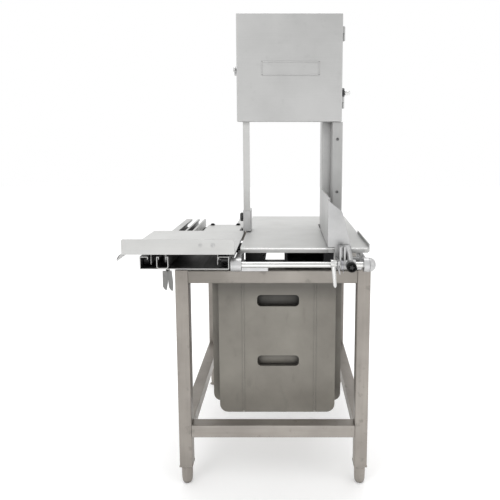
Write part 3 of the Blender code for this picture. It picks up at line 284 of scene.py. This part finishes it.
# The track's and the rails' variants below carry painted shade and light.
NODE_LOOKS = (
    (TABLE_STEEL, ("main_table", "table_wing", "carriage_tray", "guide_post")),
    (COVER_STEEL, ("column_cover",)),
    (TRACK_SHADE_STEEL, ("carriage_track",)),
    (STRAP_STEEL, ("track_latch",)),
    (LIT_LOW_RAIL_STEEL, ("lower_rail_front", "lower_rail_back")),
    (SHADED_TOP_RAIL_STEEL, ("top_rail_front", "top_rail_back")),
    (GAUGE_CASTING, ("gauge_bracket",)),
)
for subpart in frame["record"]["subparts"]:
    for slot in nodes[subpart["node"]].material_slots:
        slot.material = LOOKS[subpart["material_slot"]]
for look, names in NODE_LOOKS:
    for name in names:
        nodes[name].material_slots[0].material = look


# ---------------------------------------------------------------- places
RAIL_TOP = 0.816
stand_low, stand_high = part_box("side_frame_left")[0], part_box("side_frame_right")[1]
ORIGIN = Vector(((stand_low.x + stand_high.x) / 2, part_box("top_rail_front")[0].y, stand_high.z - RAIL_TOP))


def at(x, y, z):
    """A point from the stand's own frame: middle of the stand, front of the front legs, feet screwed in."""
    return ORIGIN + Vector((x, y, z))


def start_of(node, axis):
    """The middle of the node's box, on its low side along the axis."""
    low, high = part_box(node)
    spot = (low + high) / 2
    index = "XYZ".index(axis)
    spot[index] = low[index]
    return spot


def span(node, axis):
    """The length of the node's box along the axis."""
    low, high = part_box(node)
    return (high - low)["XYZ".index(axis)]


def middle(node):
    low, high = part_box(node)
    return (low + high) / 2


# ---------------------------------------------------------------- shape helpers
def keep(bm, name, slot, body, *stands_for, smooth_below=35.0, look=None):
    """Turns the bmesh into a smooth-shaded piece that rides on its body."""
    for face in bm.faces:
        face.smooth = True
    for edge in bm.edges:
        edge.smooth = len(edge.link_faces) == 2 and edge.calc_face_angle(0.0) < math.radians(smooth_below)
    mesh = bpy.data.meshes.new(name)
    bm.to_mesh(mesh)
    bm.free()
    return keep_mesh(mesh, name, slot, body, *stands_for, look=look)


def keep_mesh(mesh, name, slot, body, *stands_for, look=None):
    piece = bpy.data.objects.new(name, mesh)
    bpy.context.scene.collection.objects.link(piece)
    mesh.materials.clear()
    mesh.materials.append(look or LOOKS[slot])
    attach(piece, body)
    if stands_for:
        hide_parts(*stands_for)
    return piece


def lathe(bm, profile, axis, base, steps=48, lobes=0, depth=0.0, loop=False):
    """Sweeps (radius, height) points about an axis through base; lobes pinch the wall by depth."""
    place = Matrix.Translation(base) @ TURN[axis]
    tiny, full_depth = 1e-6, 0.008
    rings = []
    for radius, height in profile:
        row = []
        for i in range(steps if radius > tiny else 1):
            angle = math.tau * i / steps
            wall = radius
            if lobes:
                wall -= depth * min(1.0, radius / full_depth) * (0.5 - 0.5 * math.cos(lobes * angle))
            point = place @ Vector((wall * math.cos(angle), wall * math.sin(angle), height))
            row.append(bm.verts.new(point))
        rings.append(row)
    pairs = list(zip(rings, rings[1:]))
    if loop:
        pairs.append((rings[-1], rings[0]))
    for lower, upper in pairs:
        for i in range(steps):
            j = (i + 1) % steps
            corners = [ring[k % len(ring)] for ring, k in ((lower, i), (lower, j), (upper, j), (upper, i))]
            corners = list(dict.fromkeys(corners))
            if len(corners) > 2:
                bm.faces.new(corners)
    bmesh.ops.recalc_face_normals(bm, faces=bm.faces[:])


def turned(name, slot, body, axis, base, profile, *stands_for, look=None, **more):
    """A turned piece of its own."""
    bm = bmesh.new()
    lathe(bm, profile, axis, base, **more)
    return keep(bm, name, slot, body, *stands_for, look=look)


def slab(bm, low, high, bevel=0.0006, segments=2):
    """A block with rounded edges between two corners."""
    part = bmesh.ops.create_cube(bm, size=1.0)["verts"]
    low, high = Vector(low), Vector(high)
    for vert in part:
        vert.co = Vector(((low + high) / 2)[k] + vert.co[k] * (high - low)[k] for k in range(3))
    edges = {edge for vert in part for edge in vert.link_edges}
    bmesh.ops.bevel(bm, geom=list(edges), offset=bevel, segments=segments, affect="EDGES", profile=0.5)


def limb(bm, stations, sides=24):
    """A rounded limb through (centre, half width in X, half depth in Y) stations that run along Z."""
    rings = []
    for centre, half_x, half_y in stations:
        ring = []
        for i in range(sides):
            angle = math.tau * i / sides
            out = Vector((half_x * math.cos(angle), half_y * math.sin(angle), 0))
            ring.append(bm.verts.new(centre + out))
        rings.append(ring)
    for lower, upper in zip(rings, rings[1:]):
        for i in range(sides):
            j = (i + 1) % sides
            bm.faces.new((lower[i], lower[j], upper[j], upper[i]))
    bm.faces.new(rings[0])
    bm.faces.new(rings[-1])
    bmesh.ops.recalc_face_normals(bm, faces=bm.faces[:])


def bent_wire(name, slot, body, points, radius):
    """A smooth wire through the points."""
    curve = bpy.data.curves.new(name, "CURVE")
    curve.dimensions = "3D"
    curve.bevel_depth = radius
    curve.bevel_resolution = 5
    curve.use_fill_caps = True
    spline = curve.splines.new("NURBS")
    spline.points.add(len(points) - 1)
    for spot, point in zip(spline.points, points):
        spot.co = (*point, 1)
    spline.order_u = 3
    spline.use_endpoint_u = True
    spline.resolution_u = 6
    wire = bpy.data.objects.new(name, curve)
    bpy.context.scene.collection.objects.link(wire)
    mesh = bpy.data.meshes.new_from_object(wire.evaluated_get(bpy.context.evaluated_depsgraph_get()))
    bpy.data.objects.remove(wire)
    return keep_mesh(mesh, name, slot, body)


def cap_screw(name, slot, body, axis, base, radius, height):
    """A domed screw head on a thin washer; a negative height faces it back down the axis."""
    sign = 1 if height > 0 else -1
    turned(name, slot, body, axis, base,
           [(0, 0), (radius * 1.25, 0), (radius * 1.25, sign * 0.0008), (radius, sign * 0.0010),
            (radius * 0.97, height * 0.55), (radius * 0.80, height * 0.85), (radius * 0.45, height),
            (radius * 0.30, height), (radius * 0.30, height * 0.6), (0, height * 0.6)], steps=32)


# ---------------------------------------------------------------- feet and rollers
def foot(node):
    """A bullet foot with a groove under its collar, on a plain stem."""
    stem = 0.0363
    top = span(node, "Z")
    collar = top - stem
    turned(node + "_turned", "stand_steel", node, "Z", start_of(node, "Z"),
           [(0, 0), (0.0118, 0), (0.0140, 0.0008), (0.0164, 0.0030), (0.0182, 0.0070), (0.0193, 0.012),
            (0.0202, 0.019), (0.0206, 0.026), (0.0209, 0.034), (0.0209, collar - 0.009),
            (0.0200, collar - 0.0082), (0.0200, collar - 0.0062), (0.0209, collar - 0.0054),
            (0.0209, collar - 0.0012), (0.0198, collar), (0.0078, collar), (0.0078, top - 0.001),
            (0.0070, top), (0, top)], node)


def roller(node):
    """A moulded roller with recessed faces round its bore."""
    outer = span(node, "Z") / 2
    width = span(node, "X")
    bore = 0.0043
    turned(node + "_turned", "black_plastic", node, "X", start_of(node, "X"),
           [(bore, 0), (0.0075, 0), (0.0080, 0.0010), (outer - 0.004, 0.0010), (outer - 0.003, 0),
            (outer - 0.001, 0), (outer, 0.001), (outer, width - 0.001), (outer - 0.001, width),
            (outer - 0.003, width), (outer - 0.004, width - 0.001), (0.0080, width - 0.001),
            (0.0075, width), (bore, width)], node, loop=True)


# ---------------------------------------------------------------- bar, knobs and lever
def gauge_bar():
    """The polished bar and its cast collar with a dome."""
    radius, cap = 0.010, 0.022
    start = start_of("gauge_bar", "X")
    dome = span("gauge_bar", "X") - cap
    turned("gauge_bar_polished", "bright_steel", "gauge_bar", "X", start,
           [(0, 0), (0.0085, 0), (radius, 0.0015), (radius, dome + 0.002), (0, dome + 0.002)],
           "gauge_bar", steps=64)
    turned("gauge_bar_end", "casting", "gauge_bar", "X", start,
           [(0, dome), (0.0215, dome), (0.0232, dome + 0.0012), (0.0232, dome + 0.0045),
            (0.0218, dome + 0.0095), (0.0185, dome + 0.0145), (0.0135, dome + 0.0188),
            (0.0070, dome + 0.0213), (0, dome + cap)], steps=64)


def gauge_knob():
    """A round knob with a dished face and a dark star in it, on a round grip body."""
    face = start_of("gauge_knob", "Y")
    depth = span("gauge_knob", "Y")
    turned("gauge_knob_moulded", "black_plastic", "gauge_knob", "Y", face,
           [(0, 0.0095), (0.0060, 0.0090), (0.0094, 0.0080), (0.0104, 0.0040), (0.0112, 0.0012), (0.0126, 0),
            (0.0142, 0.0003), (0.0156, 0.0016), (0.0162, 0.0040), (0.0162, 0.0170), (0.0154, 0.0192),
            (0.0140, 0.0200), (0.0040, 0.0200), (0.0040, depth), (0, depth)],
           "gauge_knob", steps=64, look=KNOB_BLACK)
    turned("gauge_knob_star", "black_plastic", "gauge_knob", "Y", face,
           [(0, 0.0030), (0.0060, 0.0032), (0.0086, 0.0040), (0.0092, 0.0052), (0.0092, 0.0080), (0, 0.0090)],
           steps=60, lobes=5, depth=0.0040)
    turned("gauge_socket", "casting", "gauge", "Y", face + Vector((0, 0.0210, 0)),
           [(0.0046, 0), (0.0140, 0), (0.0152, 0.0012), (0.0158, 0.0030), (0.0158, 0.0480), (0.0150, 0.0510),
            (0.0046, 0.0520)], loop=True, look=SOCKET_STEEL)


def guide_knob():
    """A five-lobed grip with a dished face and a boss, on a plain stem."""
    thick, stem, wall = 0.0115, 0.012, 0.0184
    turned("guide_knob_moulded", "black_plastic", "guide_knob", "X", start_of("guide_knob", "X"),
           [(0, thick + stem), (0.0040, thick + stem), (0.0040, thick), (wall - 0.003, thick),
            (wall - 0.0008, thick - 0.0012), (wall, thick - 0.0035), (wall, 0.0045), (wall - 0.0009, 0.0018),
            (wall - 0.0030, 0), (wall - 0.0048, 0.0020), (0.0080, 0.0062), (0.0060, 0.0040), (0, 0.0036)],
           "guide_knob", steps=96, lobes=5, depth=0.0026)


def tension_knob():
    """The tension shaft with its lobed grip against the column, and the bright handle outside it."""
    start = start_of("tension_knob", "X")
    length = span("tension_knob", "X")
    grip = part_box("column")[1].x + 0.001 - start.x
    turned("tension_shaft", "black_plastic", "tension_knob", "X", start,
           [(0, 0), (0.0104, 0), (0.0112, 0.001), (0.0112, 0.029), (0.0104, 0.030), (0.0060, 0.030),
            (0.0060, grip), (0.0130, grip), (0.0150, grip + 0.0012), (0.0185, grip + 0.0060),
            (0.0198, grip + 0.0080),
            (0.0198, grip + 0.0185), (0.0186, grip + 0.0205), (0.0120, grip + 0.0225), (0, grip + 0.0225)],
           "tension_knob", steps=96, lobes=6, depth=0.0036)
    turned("tension_handle", "bright_steel", "tension_knob", "X", start,
           [(0, grip + 0.020), (0.0096, grip + 0.020), (0.0096, grip + 0.0240), (0.0104, grip + 0.0250),
            (0.0104, length - 0.0060), (0.0098, length - 0.0028), (0.0080, length - 0.0008),
            (0.0050, length), (0, length)])


def lock_lever():
    """A hub on its pivot and a tapered lever that hangs from it, leaning right."""
    pivot = at(0.200, -0.158, 0.882)
    start = start_of("lock_lever", "X")
    hub_end = span("lock_lever", "X")
    lean = 0.0065
    bm = bmesh.new()
    lathe(bm, [(0.0043, 0), (0.0112, 0), (0.0120, 0.0008), (0.0120, 0.0165), (0.0110, 0.0180),
               (0.0080, hub_end), (0.0043, hub_end)], "X", (start.x, pivot.y, pivot.z), loop=True)
    top = pivot.z - 0.004
    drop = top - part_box("lock_lever")[0].z
    stations = []
    for share, half_x, half_y in ((0, 0.0078, 0.0064), (0.25, 0.0072, 0.0060), (0.6, 0.0064, 0.0056),
                                  (0.9, 0.0058, 0.0053), (0.97, 0.0046, 0.0044), (1.0, 0.0024, 0.0026)):
        centre = Vector((pivot.x + lean * share, pivot.y - 0.001, top - drop * share))
        stations.append((centre, half_x, half_y))
    limb(bm, stations)
    keep(bm, "lock_lever_forged", "bright_steel", "lock_lever", "lock_lever")


# ---------------------------------------------------------------- wheels and blade
WHEEL_FLANGE = 0.003


def cut_holes(piece, cutter):
    """Takes the cutter out of the piece for good."""
    modifier = piece.modifiers.new("holes", "BOOLEAN")
    modifier.object = cutter
    modifier.solver = "EXACT"
    made = bpy.data.meshes.new_from_object(piece.evaluated_get(bpy.context.evaluated_depsgraph_get()))
    piece.modifiers.clear()
    piece.data = made
    bpy.data.objects.remove(cutter)


def wheel(node, bore):
    """A cast wheel with a rim, a blade flange, a dished web with five holes and a long hub."""
    holes, hole_circle, hole_radius, first_hole = 5, 0.100, 0.0275, 0.03
    web_front, web_back = 0.0085, 0.0145
    centre = start_of(node, "Y")
    width = span(node, "Y")
    flange = span(node, "X") / 2
    rim = flange - WHEEL_FLANGE
    profile = [(bore, 0), (0.033, 0), (0.036, 0.0015), (0.038, web_front), (0.060, web_front),
               (rim - 0.030, web_front), (rim - 0.014, web_front - 0.0015), (rim - 0.012, web_front - 0.004),
               (rim - 0.012, 0.0005), (rim - 0.0008, 0), (rim, 0.0010), (rim, width - 0.0026),
               (flange - 0.0006, width - 0.0026), (flange, width - 0.0020), (flange, width - 0.0006),
               (flange - 0.0006, width), (rim - 0.012, width - 0.0005), (rim - 0.012, web_back + 0.003),
               (rim - 0.014, web_back + 0.0010), (rim - 0.030, web_back), (0.038, web_back),
               (0.036, width - 0.0015), (0.033, width), (bore, width)]
    hole_ring = bmesh.new()
    past = 0.01
    for i in range(holes):
        angle = math.tau * (i + first_hole) / holes + math.pi / 2
        spot = centre + hole_circle * Vector((math.cos(angle), 0, math.sin(angle)))
        lathe(hole_ring, [(0, -past), (hole_radius, -past), (hole_radius, width + past), (0, width + past)],
              "Y", spot, steps=40)
    mesh = bpy.data.meshes.new("holes")
    hole_ring.to_mesh(mesh)
    hole_ring.free()
    cutter = bpy.data.objects.new("holes", mesh)
    bpy.context.scene.collection.objects.link(cutter)
    piece = turned(node + "_cast", "wheel_iron", node, "Y", centre, profile, node, steps=120, loop=True)
    cut_holes(piece, cutter)
    for face in piece.data.polygons:
        face.use_smooth = True
    piece.data.set_sharp_from_angle(angle=math.radians(35))


def blade_band():
    """An endless band round both wheels; hooked teeth along the front edge point the way the blade cuts."""
    teeth, gullet, tooth_set, thick, gap = 512, 0.0030, 0.00018, 0.0007, 0.0003
    low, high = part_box("blade")
    upper, lower = middle("upper_wheel"), middle("lower_wheel")
    inside = span("upper_wheel", "X") / 2 - WHEEL_FLANGE + gap
    straight = upper.z - lower.z
    arc = math.pi * inside
    length = 2 * (straight + arc)

    def round_wheel(centre, angle):
        out = Vector((math.cos(angle), 0, math.sin(angle)))
        return centre + inside * out, out

    def station(s):
        """Point on the inner side of the band and the outward direction, s metres along the loop."""
        s = s % length
        if s < straight:
            return upper + Vector((-inside, 0, -s)), Vector((-1, 0, 0))
        s -= straight
        if s < arc:
            return round_wheel(lower, math.pi + s / inside)
        s -= arc
        if s < straight:
            return lower + Vector((inside, 0, s)), Vector((1, 0, 0))
        return round_wheel(upper, (s - straight) / inside)

    bm = bmesh.new()
    rows = []
    for tooth in range(teeth):
        lean = tooth_set * (-1) ** tooth
        for share, depth, side in ((0.0, 0.0, lean), (0.14, gullet, 0.0), (0.45, gullet * 0.92, 0.0)):
            spot, out = station(length * (teeth - tooth - share) / teeth)
            front, back = low.y + depth, high.y
            row = []
            for push, y in ((side, front), (thick + side, front), (thick, back), (0, back)):
                row.append(bm.verts.new((spot.x + out.x * push, y, spot.z + out.z * push)))
            rows.append(row)
    for first, second in zip(rows, rows[1:] + rows[:1]):
        for i in range(4):
            j = (i + 1) % 4
            bm.faces.new((first[i], first[j], second[j], second[i]))
    bmesh.ops.recalc_face_normals(bm, faces=bm.faces[:])
    keep(bm, "blade_band", "bright_steel", "stand", "blade", smooth_below=25.0)


# ---------------------------------------------------------------- gauge
def gauge_pawl():
    """A finger that hangs in front of the gauge's sleeve, and the wire spring wound round the sleeve."""
    turns, per_turn, wound = 5, 12, 0.0185
    coil = []
    for i in range(turns * per_turn + 1):
        angle = math.tau * i / per_turn
        coil.append(at(0.2275 + 0.0070 * i / (turns * per_turn), -0.130 + wound * math.cos(angle),
                       0.870 + wound * math.sin(angle)))
    tail = [at(0.2350, -0.1480, 0.858), at(0.2335, -0.1490, 0.846)]
    bent_wire("gauge_pawl_spring", "spring_steel", "gauge", coil + tail, 0.0009)
    bm = bmesh.new()
    limb(bm, [(at(0.2190, -0.1450, 0.8800), 0.0030, 0.0035), (at(0.2188, -0.1478, 0.8700), 0.0034, 0.0030),
              (at(0.2196, -0.1480, 0.8560), 0.0030, 0.0026), (at(0.2222, -0.1486, 0.8450), 0.0024, 0.0022),
              (at(0.2232, -0.1488, 0.8420), 0.0012, 0.0012)])
    keep(bm, "gauge_pawl", "casting", "gauge")


def gauge_arm():
    """The slanted arm, the web between the two ribs, and the dark sleeve over the stub."""
    bm = bmesh.new()
    foot_end, head_end = at(0.2550, -0.1085, 0.8930), at(0.2500, -0.0870, 0.9280)
    limb(bm, [(foot_end.lerp(head_end, share), half, half) for share, half in
              ((0, 0.0115), (0.1, 0.0122), (0.5, 0.0118), (0.9, 0.0122), (1.0, 0.0110))])
    keep(bm, "gauge_arm_cast", "casting", "gauge")
    bm = bmesh.new()
    slab(bm, at(0.2270, -0.1250, 0.8850), at(0.2370, -0.0900, 0.9290), 0.0020)
    keep(bm, "gauge_web_cast", "casting", "gauge")
    turned("gauge_stub_sleeve", "casting", "gauge", "X", at(0.2600, -0.101, 0.8790),
           [(0, 0), (0.0106, 0), (0.0114, 0.0010), (0.0114, 0.0310), (0.0106, 0.0318), (0, 0.0318)],
           steps=32, look=SOCKET_STEEL)


# ---------------------------------------------------------------- screws, edges and covers
def screws():
    """Deck bolts and fence screws of the carriage, cover screws of the column, and the case's side pin."""
    for side, x in (("left", -0.268), ("right", -0.158)):
        cap_screw(f"deck_bolt_{side}", "dark_paint", "carriage", "Z", at(x, 0.388, 0.9151), 0.0085, 0.0070)
    for side, x in (("left", -0.2285), ("right", -0.1885)):
        cap_screw(f"fence_screw_{side}", "satin_steel", "carriage", "Y", at(x, -0.1680, 0.9430), 0.0050,
                  -0.0012)
    cover_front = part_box("column_cover")[0].y
    for level, z in (("lower", 1.077), ("upper", 1.283)):
        spot = at(0.2488, 0, z)
        spot.y = cover_front + 0.0030
        cap_screw(f"cover_screw_{level}", "dark_paint", "stand", "Y", spot, 0.0046, -0.0036)
    pin = at(0, 0.285, 0.245)
    pin.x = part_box("lower_case")[0].x + 0.0005
    cap_screw("case_side_pin", "stand_steel", "stand", "X", pin, 0.0060, -0.0220)


def table_edges():
    """The rolled front edge of the table and of its wing, near-white as a painted highlight, and under each a
    darker strip of painted shade.
    """
    roll, proud = 0.0036, 0.0002
    table_low, table_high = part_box("main_table")
    for name, node, right_trim, shade_strip_trim in (("table", "main_table", 0.0005, 0.0),
                                              ("wing", "table_wing", 0.0080, 0.0080)):
        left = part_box(node)[0].x + 0.0005
        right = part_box(node)[1].x - right_trim
        length = right - left
        # Painted highlight: the nosing's near-white steel.
        turned(name + "_nosing", "bright_steel", "stand", "X",
               (left, table_low.y + roll - proud, table_high.z - roll + proud),
               [(0, 0), (roll - 0.0005, 0), (roll, 0.0005), (roll, length - 0.0005), (roll - 0.0005, length),
                (0, length)], steps=24, look=NOSING_HIGHLIGHT_STEEL)
        # Painted shade: a darker strip over the front face of the rim.
        bm = bmesh.new()
        slab(bm, (left, table_low.y - proud, table_low.z + 0.0004),
             (right - shade_strip_trim, table_low.y + 0.001, table_high.z - 0.0078), 0.0002)
        keep(bm, name + "_rim_shade_strip", "satin_steel", "stand", look=COVER_STEEL)


def blank_bar():
    """A plain raised border on the head door."""
    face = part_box("head_door")[0].y
    left, right = ORIGIN.x - 0.045, ORIGIN.x + 0.175
    bottom, top = ORIGIN.z + 1.525, ORIGIN.z + 1.577
    border = 0.004
    bm = bmesh.new()
    for x0, z0, x1, z1 in ((left, top - border, right, top), (left, bottom, right, bottom + border),
                           (left, bottom, left + border, top), (right - border, bottom, right, top)):
        slab(bm, (x0, face - 0.0016, z0), (x1, face + 0.0004, z1), 0.0009)
    keep(bm, "blank_bar_border", "satin_steel", "head_door")


def pocket_floors():
    """The floors of the two hand pockets in the lower door; the upper one lies in the table's shadow, and its
    dark paint is painted shade.
    """
    rim = 0.0012
    door_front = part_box("lower_door")[0].y + 0.002
    for name, low, high, look in (("lower", 0.393, 0.436, None), ("upper", 0.636, 0.682, POCKET_SHADE_PAINT)):
        bm = bmesh.new()
        slab(bm, (ORIGIN.x - 0.0644 + rim, door_front + 0.0215, ORIGIN.z + low + rim),
             (ORIGIN.x + 0.0992 - rim, door_front + 0.0239, ORIGIN.z + high - rim), 0.0011)
        keep(bm, f"pocket_floor_{name}", "case_paint", "lower_door", look=look)


def door_beads():
    """The two pressed beads down the lower door, in paint lighter than the door's as a painted highlight."""
    door_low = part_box("lower_door")[0]
    for side, x in (("left", -0.1196), ("right", 0.162)):
        foot_end = Vector((ORIGIN.x + x, door_low.y + 0.0030, door_low.z + 0.0002))
        head_end = Vector((foot_end.x, foot_end.y, ORIGIN.z + 0.776))
        bm = bmesh.new()
        limb(bm, [(foot_end, 0.0020, 0.0012), (foot_end.lerp(head_end, 0.005), 0.0042, 0.0030),
                  (foot_end.lerp(head_end, 0.995), 0.0042, 0.0030), (head_end, 0.0020, 0.0012)])
        keep(bm, f"door_bead_{side}", "case_paint", "lower_door", look=BEAD_HIGHLIGHT_PAINT)


def column_cap():
    """A plate that closes the top of the folded column."""
    low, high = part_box("column")
    wall = 0.0022
    bm = bmesh.new()
    slab(bm, (low.x + wall, low.y + wall, high.z - 0.0040), (high.x - wall, high.y - wall, high.z - 0.0015))
    keep(bm, "column_cap", "satin_steel", "stand")


def drip_hook():
    """The small bent end at the front left corner of the tray."""
    bm = bmesh.new()
    limb(bm, [(at(-0.4985, -0.1655, 0.8935), 0.0008, 0.0014), (at(-0.4975, -0.1655, 0.8960), 0.0016, 0.0018),
              (at(-0.4945, -0.1655, 0.9030), 0.0020, 0.0018), (at(-0.4890, -0.1655, 0.9095), 0.0026, 0.0018),
              (at(-0.4840, -0.1655, 0.9135), 0.0030, 0.0012)])
    keep(bm, "drip_hook", "dark_paint", "carriage")


# ---------------------------------------------------------------- motor
def motor():
    """A closed motor with cooling fins, end bells, a terminal box and a gland."""
    low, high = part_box("motor")
    axis = middle("motor_shaft_pinion")
    axis.y = low.y
    length = high.y - low.y
    wall = axis.x - low.x
    turned("motor_bells", "dark_paint", "stand", "Y", axis,
           [(0.0118, 0), (0.054, 0), (0.066, 0.004), (0.078, 0.011), (0.0805, 0.014), (0.0805, 0.034),
            (0.0750, 0.036), (0.0750, length - 0.036), (0.0805, length - 0.034), (0.0805, length - 0.018),
            (0.0740, length - 0.009), (0.060, length - 0.003), (0.045, length), (0.044, length),
            (0.043, length - 0.004), (0.020, length - 0.004), (0, length - 0.004)], "motor", steps=72,
           look=MOTOR_PAINT)
    turned("motor_fins", "dark_paint", "stand", "Y", axis,
           [(0.0740, 0.036), (wall - 0.0004, 0.036), (wall, 0.038), (wall, length - 0.038),
            (wall - 0.0004, length - 0.036), (0.0740, length - 0.036)], steps=252, loop=True, lobes=36,
           depth=0.0075, look=MOTOR_PAINT)
    box_front, box_back, half, lid = low.y + 0.070, low.y + 0.170, 0.040, high.x - 0.0082
    bm = bmesh.new()
    slab(bm, (axis.x + wall - 0.020, box_front, axis.z - half), (lid - 0.0003, box_back, axis.z + half),
         0.0050, 3)
    slab(bm, (lid, box_front, axis.z - half), (high.x, box_back, axis.z + half), 0.0030, 3)
    keep(bm, "motor_terminal_box", "dark_paint", "stand", look=MOTOR_PAINT)
    turned("motor_gland", "black_plastic", "stand", "Z",
           (axis.x + wall + 0.015, low.y + 0.120, axis.z - 0.058),
           [(0.0045, 0), (0.0075, 0), (0.0095, 0.003), (0.0100, 0.009), (0.0118, 0.0095), (0.0118, 0.0175),
            (0.0100, 0.0180), (0.0100, 0.021), (0.0045, 0.021)], steps=24, loop=True)
    corners = ((0.010, -0.030), (0.010, 0.030), (0.090, -0.030), (0.090, 0.030))
    for number, (along, up) in enumerate(corners, 1):
        cap_screw(f"terminal_screw_{number}", "bright_steel", "stand", "X",
                  (high.x - 0.0024, box_front + along, axis.z + up), 0.0032, 0.0024)


for end in ("front", "back"):
    for side in ("left", "right"):
        foot(f"foot_{end}_{side}")
        roller(f"roller_{end}_{side}")
gauge_bar()
gauge_knob()
guide_knob()
tension_knob()
lock_lever()
wheel("upper_wheel", 0.0262)
wheel("lower_wheel", 0.0125)
blade_band()
gauge_pawl()
gauge_arm()
screws()
table_edges()
blank_bar()
pocket_floors()
door_beads()
column_cap()
drip_hook()
motor()


# ---------------------------------------------------------------- camera, light and floor
def camera():
    """The photograph's view, fitted to corners of the stand, the table and the head."""
    lens = bpy.data.cameras.new("camera")
    lens.lens = 35.45
    lens.shift_x = -0.067
    lens.shift_y = -0.10
    looks_down = math.radians(6.72)
    eye = bpy.data.objects.new("camera", lens)
    eye.location = at(0.0383, -1.7192, 1.2723)
    eye.rotation_euler = (math.pi / 2 - looks_down, 0, 0)
    bpy.context.scene.collection.objects.link(eye)
    bpy.context.scene.camera = eye


def lights():
    """A white surround and four soft discs, each aimed at the middle of the saw."""
    world = bpy.data.worlds.new("studio")
    world.use_nodes = True
    world.node_tree.nodes["Background"].inputs["Color"].default_value = (1, 1, 1, 1)
    world.node_tree.nodes["Background"].inputs["Strength"].default_value = 1.0
    bpy.context.scene.world = world
    aim = Vector((0.05, 0.0, 1.0))
    for name, place, size, power in (("key", (-1.8, -2.4, 2.6), 1.8, 19), ("fill", (2.4, -1.6, 1.8), 2.0, 7),
                                     ("top", (0.0, 0.6, 3.4), 2.0, 34), ("low", (0.2, -2.6, 0.3), 1.2, 5)):
        light = bpy.data.lights.new(name, "AREA")
        light.shape = "DISK"
        light.size = size
        light.energy = power
        lamp = bpy.data.objects.new(name, light)
        lamp.location = place
        lamp.rotation_euler = (aim - Vector(place)).to_track_quat("-Z", "Y").to_euler()
        bpy.context.scene.collection.objects.link(lamp)


def floor():
    """A pale floor just under the feet, with a faint glow so that it runs into the white surround."""
    bm = bmesh.new()
    bmesh.ops.create_grid(bm, x_segments=2, y_segments=2, size=12.0)
    mesh = bpy.data.meshes.new("floor")
    bm.to_mesh(mesh)
    bm.free()
    ground = bpy.data.objects.new("floor", mesh)
    ground.location.z = -0.0005
    bpy.context.scene.collection.objects.link(ground)
    g = Graph("studio_floor")
    g.link(g.mix(g.noise(2.0), (0.90, 0.90, 0.90), (0.93, 0.93, 0.93)), g.shader.inputs["Base Color"])
    g.link(g.spread(g.noise(30.0), 0.75, 0.85), g.shader.inputs["Roughness"])
    g.shader.inputs["Emission Color"].default_value = (1, 1, 1, 1)
    g.shader.inputs["Emission Strength"].default_value = 0.16
    mesh.materials.append(g.material)


camera()
lights()
floor()
bpy.context.scene.view_settings.view_transform = "Standard"
